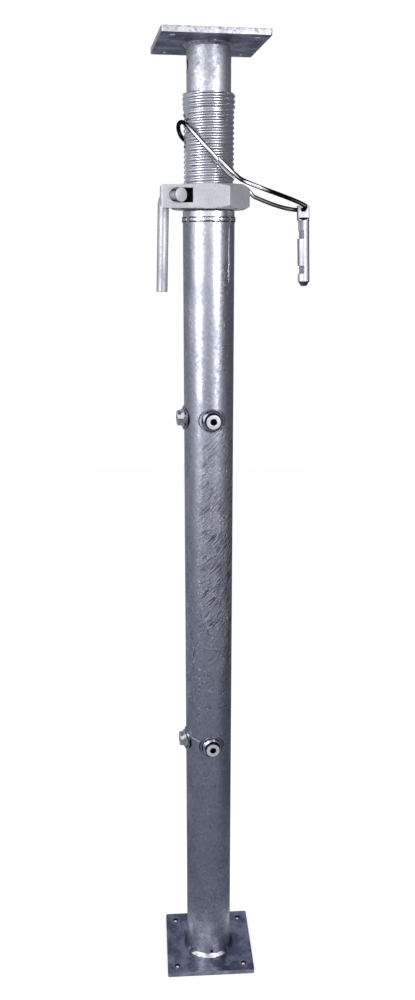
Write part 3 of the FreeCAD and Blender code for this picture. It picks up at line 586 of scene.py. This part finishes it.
def applied(piece):
    """The piece's mesh with its modifiers worked in for good."""
    bpy.context.view_layer.update()
    result = bpy.data.meshes.new_from_object(
        piece.evaluated_get(bpy.context.evaluated_depsgraph_get()))
    piece.modifiers.clear()
    piece.data = result


# %% [markdown]
# A new piece stands for the node that it is made after: it rides the same body, takes the finish
# it is given, and the node is left out of the picture. Some of its faces can then take a second
# finish, which is simpler and more exact than painting a mask: a test on a face's corners picks
# them.

# %% Standing for a node


def stand_for(piece, node, material):
    """The piece takes a node's place and body, and the finish it is given."""
    dress(piece, material)
    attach(piece, body_of_node(node))
    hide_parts(node)
    return piece


def second_finish(piece, material, chosen):
    """Gives the faces for which chosen(corner points) is true another finish."""
    piece.data.materials.append(material)
    index = len(piece.data.materials) - 1
    count = 0
    for face in piece.data.polygons:
        if chosen([piece.data.vertices[i].co for i in face.vertices]):
            face.material_index = index
            count += 1
    return count


def levels_of(points):
    """The lowest and the highest level of some points."""
    levels = [point.z for point in points]
    return min(levels), max(levels)


# %% [markdown]
# The sleeve's thread is rolled: its crests and roots are both rounded, so each pitch shows two
# bright lines. It climbs 7 mm a turn, right-handed. The last three threads stand a little
# prouder and stop the nut. A cosine between root and crest, whose phase turns with the angle,
# gives that shape, and the bore closes it inside.

# %% Threaded sleeve
PITCH = 7.0 * MM
CREST = 36.7 * MM
ROOT = 35.15 * MM
CREST_FULLNESS = 0.85
STOP_LIFT = 1.05 * MM
STOP_RUN = 2.0 * MM
SHOULDER_TOP = sleeve_low + 11.6 * MM
THREAD_START = sleeve_low + 14.5 * MM
STOP_LOW = sleeve_top - 3 * PITCH
BORE = tube_radius - 5.0 * MM
END_CHAMFER = 1.2 * MM
STEP_UP = 0.5 * MM
SLEEVE_STEPS = 128


def thread_radius(angle, z):
    """The sleeve's outer radius at an angle and a level."""
    if z < SHOULDER_TOP:
        return tube_radius
    if z < THREAD_START:
        share = (z - SHOULDER_TOP) / (THREAD_START - SHOULDER_TOP)
        return tube_radius + (ROOT - tube_radius) * share
    phase = 2 * math.pi * (z - sleeve_low) / PITCH - angle
    wave = 0.5 + 0.5 * math.cos(phase)
    radius = ROOT + (CREST - ROOT) * wave ** CREST_FULLNESS
    radius += STOP_LIFT * min(max((z - STOP_LOW) / STOP_RUN, 0.0), 1.0)
    top_gap = sleeve_top - z
    return min(radius, CREST + STOP_LIFT - max(END_CHAMFER - top_gap, 0.0))


def thread_outline(angle):
    """The sleeve's cross-section at an angle: up the thread and back down the bore."""
    count = int((sleeve_top - sleeve_low) / STEP_UP)
    outline = []
    for i in range(count + 1):
        z = sleeve_low + (sleeve_top - sleeve_low) * i / count
        outline.append((thread_radius(angle, z), z))
    outline.append((BORE, sleeve_top))
    outline.append((BORE, sleeve_low))
    return outline


sleeve = ring_skin("sleeve_thread", thread_outline, SLEEVE_STEPS)
print("sleeve skin", len(sleeve.data.polygons), "faces")

# %% [markdown]
# The locking pin goes through a long slot on each side of the sleeve. Milling it would take a
# cutter as wide as the slot, run from one end to the other, so the tool here is that swept
# shape: a long block with round ends, cut out with a Boolean modifier that is then worked in.

# %% Pin slots
SLOT_WIDTH = 19.0 * MM
SLOT_LOW = sleeve_low + 25.0 * MM
SLOT_HIGH = sleeve_low + 146.0 * MM
SLOT_REACH = 60 * MM
ARC_STEPS = 12


def stadium_prism(name, width, low, high, reach):
    """A long round-ended block along X."""
    half = width / 2
    rim = []
    for start, middle in ((0.0, high - half), (math.pi, low + half)):
        for k in range(ARC_STEPS + 1):
            angle = start + math.pi * k / ARC_STEPS
            rim.append((half * math.cos(angle), middle + half * math.sin(angle)))
    points = [(-reach, y, z) for y, z in rim] + [(reach, y, z) for y, z in rim]
    count = len(rim)
    faces = [tuple(range(count)), tuple(range(2 * count - 1, count - 1, -1))]
    for j in range(count):
        k = (j + 1) % count
        faces.append((j, k, count + k, count + j))
    return object_from(name, points, faces, smooth=False)


def cut(piece, tool):
    """Cuts the tool out of the piece for good."""
    step = piece.modifiers.new("cut", "BOOLEAN")
    step.operation = "DIFFERENCE"
    step.solver = "EXACT"
    step.object = tool
    applied(piece)
    bpy.data.objects.remove(tool)


cut(sleeve, stadium_prism("slot_tool", SLOT_WIDTH, SLOT_LOW, SLOT_HIGH, SLOT_REACH))
sharp_by_angle(sleeve, 50)
stand_for(sleeve, "threaded_sleeve", thread_zinc)
print("sleeve faces", len(sleeve.data.polygons))

# %% [markdown]
# A weld bead is laid in small overlapping pools, so it has ripples across its run and its toe
# wanders. The butt weld between tube and sleeve was laid in four runs, front, sides and back,
# and fades where they meet. Its bead starts from the CAD bead's size and stays inside it, and
# its two toes are painted as dark lines of crease shade.

# %% Butt weld of the sleeve
FRONT = -math.pi / 2 + CAMERA_TURN
# Each run of the butt weld: its middle and half its length, in degrees from the front.
RUNS = [(0, 52), (90, 34), (180, 52), (270, 34)]
RUN_END = 8.0
THIN_SHARE = 0.15
BEAD_STEPS = 480
TOE_SHARE = 0.62


def ripple(angle, count, seed):
    """Pools along a bead, from -1 to 1."""
    pool = 0.5 + 0.5 * math.sin(count * angle + 1.2 * math.sin(3 * angle + seed))
    return 2.0 * pool ** 1.5 - 1.0


def wander(angle, turns, seed):
    """A slow change round the ring, from -1 to 1, the same after a full turn."""
    return noise.noise(Vector((turns * math.cos(angle), turns * math.sin(angle), seed)))


def degrees_from_front(angle):
    """How far round the prop an angle lies from its front, from -180 to 180."""
    return (math.degrees(angle - FRONT) + 180) % 360 - 180


def run_share(angle):
    """How full the butt bead is: it fades at the ends of each of its four runs."""
    best = 0.0
    for middle, half in RUNS:
        off = abs((math.degrees(angle - FRONT) - middle + 180) % 360 - 180)
        share = min(max((half - off) / RUN_END, 0.0), 1.0)
        best = max(best, share * (2 - share))
    return THIN_SHARE + (1 - THIN_SHARE) * best


def butt_bead(angle):
    """The bead's cross-section: a flat arch on the tube, from 0.2 mm inside its skin."""
    low, high = span("sleeve_weld")
    middle = (low.z + high.z) / 2 + 0.5 * MM * wander(angle, 3, 7.0)
    share = run_share(angle)
    live = 0.2 * ripple(angle, 40, 1.0) + 1.2 * wander(angle, 7, 1.0)
    tall = (high.z - low.z) / 2 * (0.90 + 0.08 * live) * (0.35 + 0.65 * share)
    reach = (high.x - tube_radius) * (0.84 + 0.14 * live) * share
    outline = []
    for k in range(11):
        t = math.pi * k / 10
        out = reach * math.sin(t) ** 0.6
        outline.append((tube_radius - 0.2 * MM + out, middle - tall * math.cos(t)))
    return outline


sleeve_bead = stand_for(ring_skin("sleeve_weld_bead", butt_bead, BEAD_STEPS), "sleeve_weld",
                        weld_zinc)
bead_low, bead_high = span("sleeve_weld")
bead_half = (bead_high.z - bead_low.z) / 2
print("butt weld toe faces", second_finish(sleeve_bead, shade_line_zinc, lambda points: max(
    abs(point.z - bead_low.z - bead_half) for point in points) > TOE_SHARE * bead_half))

# %% [markdown]
# Where a tube stands on a plate the weld is a fillet: a triangle in the corner, with a slightly
# hollow or round face. The one at the foot is pale in front and darker round the sides, as
# painted shade. The solid foot weld is larger than the real one looks, so its bead takes 0.78 of
# that leg.

# %% Fillet welds of the plates
FOOT_LEG_SHARE = 0.78
HOLLOW = 0.55
BULGE = 0.10
PALE_FRONT_AT_TOE = 45
PALE_FRONT_LESS_AT_TOP = 12


def fillet_bead(tube_r, z_flat, leg, upward, pools, depth, seed):
    """A fillet between a tube and a plate, upward from a plate's top or down from its
    underside."""
    def outline_at(angle):
        live = depth * ripple(angle, pools, seed) + (1 - depth) * wander(angle, 2.5, seed)
        size = leg * (0.86 + 0.13 * live) * (0.6 + 0.4 * run_share(angle))
        outline = [(tube_r - 0.3 * MM, z_flat), (tube_r + size, z_flat)]
        for k in range(1, 10):
            t = math.pi / 2 * k / 10
            bulge = BULGE * math.sin(2 * t)
            out = size * ((1 - math.sin(t)) * HOLLOW + (1 - HOLLOW) * (1 - k / 10) + bulge)
            up = size * ((1 - math.cos(t)) * HOLLOW + (1 - HOLLOW) * k / 10 + bulge)
            outline.append((tube_r + out, z_flat + upward * up))
        outline.append((tube_r - 0.3 * MM, z_flat + upward * size))
        return outline
    return outline_at


def off_front(points, degrees):
    """True for faces more than this many degrees round the prop from its front."""
    middle = sum(points, Vector()) / len(points)
    return abs(degrees_from_front(math.atan2(middle.y, middle.x))) > degrees


foot_leg = (span("foot_weld")[1].x - tube_radius) * FOOT_LEG_SHARE
head_leg = span("head_weld")[1].x - inner_radius
foot_bead = ring_skin("foot_weld_bead", fillet_bead(
    tube_radius, foot_top, foot_leg, upward=1, pools=30, depth=0.0, seed=3.0), BEAD_STEPS)
stand_for(foot_bead, "foot_weld", foot_zinc)
# Painted shade: faces round the foot weld's sides, away from its front, take the dark bead
# finish.
print("dull foot weld faces", second_finish(foot_bead, shaded_bead_zinc, lambda points: off_front(
    points, PALE_FRONT_AT_TOE - PALE_FRONT_LESS_AT_TOP * (levels_of(points)[1] - foot_top) / foot_leg)))
head_bead = ring_skin("head_weld_bead", fillet_bead(
    inner_radius, head_low, head_leg, upward=-1, pools=40, depth=0.05, seed=5.0), BEAD_STEPS)
stand_for(head_bead, "head_weld", foot_zinc)
print("foot leg", foot_leg, "head leg", head_leg)

# %% [markdown]
# Where the zinc drained after dipping, it froze in thin runs. Two show on the outer tube: one
# crosses from the left lower boss to the front one, and one comes down from the butt weld.
# Each is a ridge along a line on the tube's skin, thin at its ends.

# %% Runs of zinc
RUN_STEPS = 40
RUN_ACROSS = 5
RUN_WOBBLE = 0.6 * MM


def zinc_run(name, start, end, wide, tall, material):
    """A ridge on the tube from one (angle in degrees from the front, level) to another."""
    points = []
    for i in range(RUN_STEPS + 1):
        t = i / RUN_STEPS
        angle = FRONT + math.radians(start[0] + (end[0] - start[0]) * t)
        level = start[1] + (end[1] - start[1]) * t
        level += RUN_WOBBLE * noise.noise(Vector((6 * t, 0, 2)))
        thick = math.sin(math.pi * min(max(t, 0.02), 0.98)) ** 0.35
        thick *= 0.8 + 0.3 * noise.noise(Vector((9 * t, 3, 0)))
        run = Vector(((end[0] - start[0]) * math.radians(1) * tube_radius, end[1] - start[1]))
        side = Vector((-run.y, run.x)).normalized() * wide * thick / 2
        for k in range(RUN_ACROSS):
            across = 2 * k / (RUN_ACROSS - 1) - 1
            out = tube_radius - 0.1 * MM + tall * thick * (1 - across * across)
            turn = angle + side.x * across / tube_radius
            points.append((out * math.cos(turn), out * math.sin(turn), level + side.y * across))
    faces = []
    for i in range(RUN_STEPS):
        for k in range(RUN_ACROSS - 1):
            j = RUN_ACROSS * i + k
            faces.append((j, j + RUN_ACROSS, j + RUN_ACROSS + 1, j + 1))
    piece = object_from(name, points, faces)
    dress(piece, material)
    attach(piece, body_of_node("outer_tube"))
    return piece


boss_low = (span("boss_lower_front")[0].z + span("boss_lower_front")[1].z) / 2
butt_level = (bead_low.z + bead_high.z) / 2
zinc_run("zinc_run_lower", (-58, boss_low + 13 * MM), (-17, boss_low + 8 * MM),
         2.2 * MM, 0.5 * MM, inner_zinc)
zinc_run("zinc_run_upper", (51, butt_level - 10 * MM), (51, butt_level - 90 * MM),
         1.8 * MM, 0.4 * MM, weld_zinc)
print("runs at", boss_low, "and", butt_level)

# %% [markdown]
# Cast and sawn pieces never have knife edges. Each is copied from its CAD mesh, its flat faces
# are merged, and a narrow bevel rounds the edges, so that they catch the light as real ones do.

# %% Softened edges
FLAT_WITHIN = math.radians(0.5)
BEVEL_FROM = math.radians(28)
SHARP_FROM = 40


def softened(node, width, material):
    """A copy of a node with rounded edges, which stands for it."""
    mesh = frame["nodes"][node].data.copy()
    piece = bpy.data.objects.new(node + "_soft", mesh)
    bpy.context.scene.collection.objects.link(piece)
    work = bmesh.new()
    work.from_mesh(mesh)
    bmesh.ops.remove_doubles(work, verts=work.verts, dist=1e-6)
    bmesh.ops.dissolve_limit(work, angle_limit=FLAT_WITHIN, verts=work.verts, edges=work.edges)
    for face in work.faces:
        face.smooth = True
    work.to_mesh(mesh)
    work.free()
    bevel = piece.modifiers.new("edges", "BEVEL")
    bevel.width = width
    bevel.segments = 3
    bevel.limit_method = "ANGLE"
    bevel.angle_limit = BEVEL_FROM
    bevel.harden_normals = False
    applied(piece)
    sharp_by_angle(piece, SHARP_FROM)
    return stand_for(piece, node, material)


# %% [markdown]
# The four bosses are forged blanks, turned to a neck and a flat tip, with a threaded hole for
# a brace. Each has a material of its own, because its painted crease shade lies in rings round
# its
# own axis: the boss is darkened at its neck and beyond its corner, and the weld bead at its foot
# is darkened inside the boss's edge and beyond its toe. The tip's flat ring is worn bright, and
# the hole is painted dark as shade.

# %% Bosses
BOSS_HOLE = 5.3 * MM
BOSS_NECK = {"front": 12.8 * MM, "left": 0.0}
BOSS_CORNER = 16.2 * MM
BOSS_EDGE = 16.6 * MM
BOSS_TOE = 19.4 * MM
BOSS_OUT = {"front": Vector((0, -1, 0)), "left": Vector((-1, 0, 0))}


def dress_boss(level, side):
    """Finishes of one boss and its weld."""
    node_name = "boss_%s_%s" % (level, side)
    out = BOSS_OUT[side]
    low, high = span(node_name)
    middle = (low + high) / 2
    # Painted crease shade at the boss's neck and beyond its corner.
    own_zinc = galvanised("galvanised_%s" % node_name, "dcdde3", "a3a6b2", rough=0.20,
                          spangle_mm=3.0, hub=(middle, out, BOSS_NECK[side], BOSS_CORNER))
    boss = softened(node_name, 0.5 * MM, own_zinc)
    tip = max(low.dot(out), high.dot(out))

    def off_axis(point):
        from_middle = point - middle
        return (from_middle - out * from_middle.dot(out)).length

    second_finish(boss, tip_zinc, lambda points: all(
        point.dot(out) > tip - 0.2 * MM for point in points))
    holes = second_finish(boss, shade_inside_zinc, lambda points: all(
        off_axis(point) < BOSS_HOLE for point in points))
    # Painted crease shade on the weld, inside the boss's edge and beyond its toe.
    toe_zinc = galvanised("galvanised_bead_%s_%s" % (level, side), "aeb1bc", "7b7e8d",
                          rough=0.24, spangle_mm=2.5, bump_mm=0.25,
                          hub=(middle, out, BOSS_EDGE, BOSS_TOE))
    dress(frame["nodes"]["boss_weld_%s_%s" % (level, side)], toe_zinc)
    print(node_name, "hole faces", holes)


for level in ("upper", "lower"):
    for side in ("front", "left"):
        dress_boss(level, side)

# %% [markdown]
# The collar nut is a casting, so its edges are rounder than the others. The slot for the
# handle is painted dark as shade, because little light gets in, and its lower edge is painted as
# a dark line of shade. Both are found by place: the slot in the nut's own frame, which is turned
# a little about the prop.

# %% Collar nut
NUT_TURN = Matrix.Rotation(math.radians(8.7), 3, "Z")
NUT_EDGE = 1.1 * MM
NUT_SLOT_LEVEL = nut_low + 18.0 * MM
NUT_SLOT_HALF = 10.6 * MM


def in_slot(points):
    """Inside the handle's slot, behind the nut's front flat, in the nut's own turned frame."""
    own = [NUT_TURN @ point for point in points]
    return all(-56 * MM < point.x < -21 * MM and -51 * MM < point.y < -30 * MM
               and abs(point.z - NUT_SLOT_LEVEL) < NUT_SLOT_HALF for point in own)


# Painted shade: the nut's lower edge gets a dark line for the shade beneath it.
def lower_edge(points):
    """On the rounded lower edge."""
    return nut_low + 0.3 * MM < levels_of(points)[1] < nut_low + NUT_EDGE + 0.1 * MM


nut = softened("collar_nut", NUT_EDGE, nut_zinc)
print("slot faces", second_finish(nut, shade_inside_zinc, in_slot))
print("lower edge faces", second_finish(nut, shade_line_zinc, lower_edge))

# %% [markdown]
# The locking pin is a round bar with two seat notches and a flat eye at its end. The cut flats
# are matt, the slopes where the eye runs out are painted dark as shade and dark reflection, and
# the tip, which points down, is painted dark as shade. A flat is known by where it faces and by
# how deep it is sunk below the bar's skin.

# %% Locking pin
NOTCH_TURN = math.radians(23)
NOTCH_AIM = Vector((-math.cos(NOTCH_TURN), -math.sin(NOTCH_TURN), 0.0))
NECK_DEEP = 3.0 * MM
NOTCH_DEEP = 5.0 * MM
TIP_TALL = 8.0 * MM
pin = softened("locking_pin", 0.35 * MM, pin_zinc)
pin_out = max(vertex.co.dot(NOTCH_AIM) for vertex in pin.data.vertices)
pin_low = span("locking_pin")[0].z


def normal_of(points):
    """The way a face looks, from its first three corners."""
    return (points[1] - points[0]).cross(points[2] - points[0]).normalized()


def flat_floor(deep):
    """Tells the flats that the notches and the neck leave, sunk this far below the skin."""
    def at_floor(points):
        return normal_of(points).dot(NOTCH_AIM) > 0.95 and all(
            point.dot(NOTCH_AIM) < pin_out - deep for point in points)
    return at_floor


# Painted shade and dark reflection on the slopes below the eye.
def eye_slope(points):
    """The slopes where the eye's two flats run out."""
    normal = normal_of(points)
    return normal.z > 0.4 and abs(normal.y) > 0.4


print("neck faces", second_finish(pin, tip_zinc, flat_floor(NECK_DEEP)))
print("notch faces", second_finish(pin, notch_zinc, flat_floor(NOTCH_DEEP)))
print("slope faces", second_finish(pin, shade_line_zinc, eye_slope))
# Painted shade on the tip, which points down.
print("tip faces", second_finish(
    pin, shaded_underside_zinc, lambda points: levels_of(points)[1] < pin_low + TIP_TALL))

# %% [markdown]
# The handle is a bent bar whose upset end sits in the nut's slot. That end is worn, so its
# face is paler than the bar. Turned back by the handle's aim, the end is simply the part that
# lies farthest to the front.

# %% Nut handle
HANDLE_AIM_BACK = Matrix.Rotation(math.radians(8.7 - 38.0), 3, "Z")
handle = softened("nut_handle", 0.8 * MM, bar_zinc)
front_most = min((HANDLE_AIM_BACK @ vertex.co).y for vertex in handle.data.vertices)
print("handle end faces", second_finish(handle, tip_zinc, lambda points: all(
    (HANDLE_AIM_BACK @ point).y < front_most + 1.2 * MM for point in points)))

# %% [markdown]
# The two plates are sheared from sheet and drilled. The foot plate's rounded top edge is pale
# and its sides are painted dark as shade; the head plate is seen from below, with coarse, pale
# sides and an underside painted dark as shade. The foot holes are painted dark as shade but for a
# narrow strip of their far wall, which is painted white as light from the floor below.

# %% Plates
HOLE_OUT = 57.75 * MM
HOLE_RADIUS = 4.5 * MM
WALL_MARGIN = 1.2 * MM
SIDE_MARGIN = 1.5 * MM
FOOT_EDGE = 1.0 * MM
FOOT_TURN = -5.0
PAINTED_LIGHT_HALF_WIDTH = 2.4 * MM


def hole_walls(turn, half_wide=HOLE_RADIUS * 2):
    """Tells faces inside the plate's holes, when the plate is turned about Z by degrees, as far
    as this to either side of each hole's middle."""
    back = Matrix.Rotation(math.radians(-turn), 3, "Z")

    def inside(points):
        own = [back @ point for point in points]
        middle = sum(own, Vector()) / len(own)
        return abs(abs(middle.x) - HOLE_OUT) < half_wide and all(
            math.hypot(abs(point.x) - HOLE_OUT, abs(point.y) - HOLE_OUT)
            < HOLE_RADIUS + WALL_MARGIN for point in own)
    return inside


def sheared(low, high):
    """Tells the faces that run up the plate's sides."""
    def at_side(points):
        bottom, top = levels_of(points)
        return bottom < low + SIDE_MARGIN and top > high - SIDE_MARGIN
    return at_side


def foot_rim(points):
    """On the foot plate's rounded top edge."""
    bottom, _ = levels_of(points)
    return foot_top - FOOT_EDGE - 0.1 * MM < bottom < foot_top - 0.1 * MM


foot = softened("foot_plate", FOOT_EDGE, plate_zinc)
head = softened("head_plate", 0.6 * MM, plate_zinc)
for title, plate, finish, chosen in (
        ("head underside", head, shaded_underside_zinc,
         lambda points: levels_of(points)[1] < head_low + 0.1 * MM),
        ("foot rim", foot, edge_zinc, foot_rim),
        ("head sides", head, edge_zinc, sheared(head_low, head_top)),
        ("foot sides", foot, shaded_underside_zinc, sheared(0.0, foot_top)),
        ("foot holes", foot, shade_inside_zinc, hole_walls(FOOT_TURN)),
        ("foot hole backs", foot, painted_light_wall_zinc, hole_walls(FOOT_TURN, PAINTED_LIGHT_HALF_WIDTH)),
        ("head holes", head, wall_zinc, hole_walls(0.0))):
    print(title, "faces", second_finish(plate, finish, chosen))

# %% [markdown]
# The studio is plain: a pale floor, a white surround and soft lamps. The surround lights the
# prop at a modest level, but the camera, mirrors and glass see it as pure white: Light Path
# tells the rays apart.

# %% Surround
AMBIENT = 0.8


def seen_directly(tree):
    """1 for rays from the camera, from a mirror or through glass, and 0 for light."""
    path = add(tree, "ShaderNodeLightPath").outputs
    seen = math_node(tree, "MAXIMUM", path["Is Camera Ray"], path["Is Glossy Ray"])
    return math_node(tree, "MAXIMUM", seen, path["Is Transmission Ray"])


world = bpy.data.worlds.new("studio")
bpy.context.scene.world = world
world.use_nodes = True
sky = world.node_tree
sky.nodes.clear()
soft = add(sky, "ShaderNodeBackground", {"Color": linear("ffffff"), "Strength": AMBIENT})
white = add(sky, "ShaderNodeBackground", {"Color": linear("ffffff"), "Strength": 1.0})
blend = add(sky, "ShaderNodeMixShader",
            links={0: seen_directly(sky), 1: soft.outputs[0], 2: white.outputs[0]})
add(sky, "ShaderNodeOutputWorld", links={"Surface": blend.outputs[0]})
print("surround lights at", AMBIENT)

# %% [markdown]
# Zinc on a tube works like a row of narrow mirrors, so two upright soft lamps show as two long
# bright bands. Their angles set where the bands lie, and their widths how wide they are.

# %% Lamps


def lamp(name, angle, distance, height, wide, tall, power):
    """An upright soft lamp round the prop; angle is measured from the camera, left negative."""
    data = bpy.data.lights.new(name, "AREA")
    data.shape = "RECTANGLE"
    data.size = wide
    data.size_y = tall
    data.energy = power
    made = bpy.data.objects.new(name, data)
    bpy.context.scene.collection.objects.link(made)
    turn = CAMERA_TURN + math.radians(angle)
    made.location = (distance * math.sin(turn), -distance * math.cos(turn), height)
    made.rotation_euler = (math.pi / 2, 0.0, turn)
    print(name, "at", tuple(made.location))


lamp("left_lamp", -43, 1.6, 1.45, 0.56, 1.4, 16.5)
lamp("right_lamp", 36, 1.8, 1.52, 0.41, 1.3, 17.8)

# %% [markdown]
# A photographer sets dark cards round bright metal to draw its edges. Here they stand at the
# left, the right and behind, one hangs overhead and one lies over the floor, which keeps the
# plates and the foot of the tube dark. They are shown to reflections only, so they neither
# shade the floor nor hide the prop in a view from another side.

# %% Cards
CARD_STEPS = 24
SIDE_CARD = [(0.42, 0.01), (0.42, 1.75)]


def card(name, colour, outline, first=-180, last=180):
    """A dark card swept round the prop through (distance, level) points, between two angles
    from the camera. Only reflections show it."""
    paint, _, shader = new_material(name)
    shader.inputs["Base Color"].default_value = linear(colour)
    shader.inputs["Roughness"].default_value = 1.0
    points = []
    for i in range(CARD_STEPS + 1):
        turn = CAMERA_TURN + math.radians(first + (last - first) * i / CARD_STEPS)
        for out, level in outline:
            points.append((out * math.sin(turn), -out * math.cos(turn), level))
    count = len(outline)
    faces = []
    for i in range(CARD_STEPS):
        for j in range(count - 1):
            k = count * i + j
            faces.append((k, k + count, k + count + 1, k + 1))
    made = object_from(name, points, faces)
    dress(made, paint)
    made.visible_camera = False
    made.visible_diffuse = False
    made.visible_shadow = False
    made.visible_transmission = False
    print(name, len(faces), "faces")


card("left_card", "9a9ca4", SIDE_CARD, -92, -150)
card("right_card", "5e6069", SIDE_CARD, 58, 150)
card("back_card", "8e92a2", [(1.2, 0.01), (1.2, 2.2), (0.4, 2.6)], 120, 240)
card("top_card", "4a4c56", [(0.02, 2.6), (1.3, 2.6)])
card("floor_card", "7d8192", [(0.115, 0.003), (4.0, 0.003), (4.0, 0.6)])

# %% [markdown]
# The floor is a pale sheet that takes the prop's shadow. For the camera and for mirrors it
# glows a little, so that it runs into the white surround without an edge. To the light it is
# only a pale floor, so it adds nothing to the lamps.

# %% Floor
FLOOR_HALF = 6.0
FLOOR_GLOW = 0.62

corners = [(-FLOOR_HALF, -FLOOR_HALF, 0), (FLOOR_HALF, -FLOOR_HALF, 0),
           (FLOOR_HALF, FLOOR_HALF, 0), (-FLOOR_HALF, FLOOR_HALF, 0)]
floor = object_from("floor", corners, [(0, 1, 2, 3)], smooth=False)
floor_paint, floor_tree, floor_shader = new_material("pale_floor")
floor_shader.inputs["Roughness"].default_value = 0.9
floor_seen = seen_directly(floor_tree)
floor_tint = mixed(floor_tree, floor_seen, "f4f4f6", "b4b4b6")
floor_tree.links.new(floor_tint, floor_shader.inputs["Base Color"])
floor_shader.inputs["Emission Color"].default_value = linear("ffffff")
floor_tree.links.new(math_node(floor_tree, "MULTIPLY", floor_seen, FLOOR_GLOW),
                     floor_shader.inputs["Emission Strength"])
dress(floor, floor_paint)
print("floor", 2 * FLOOR_HALF, "m wide")
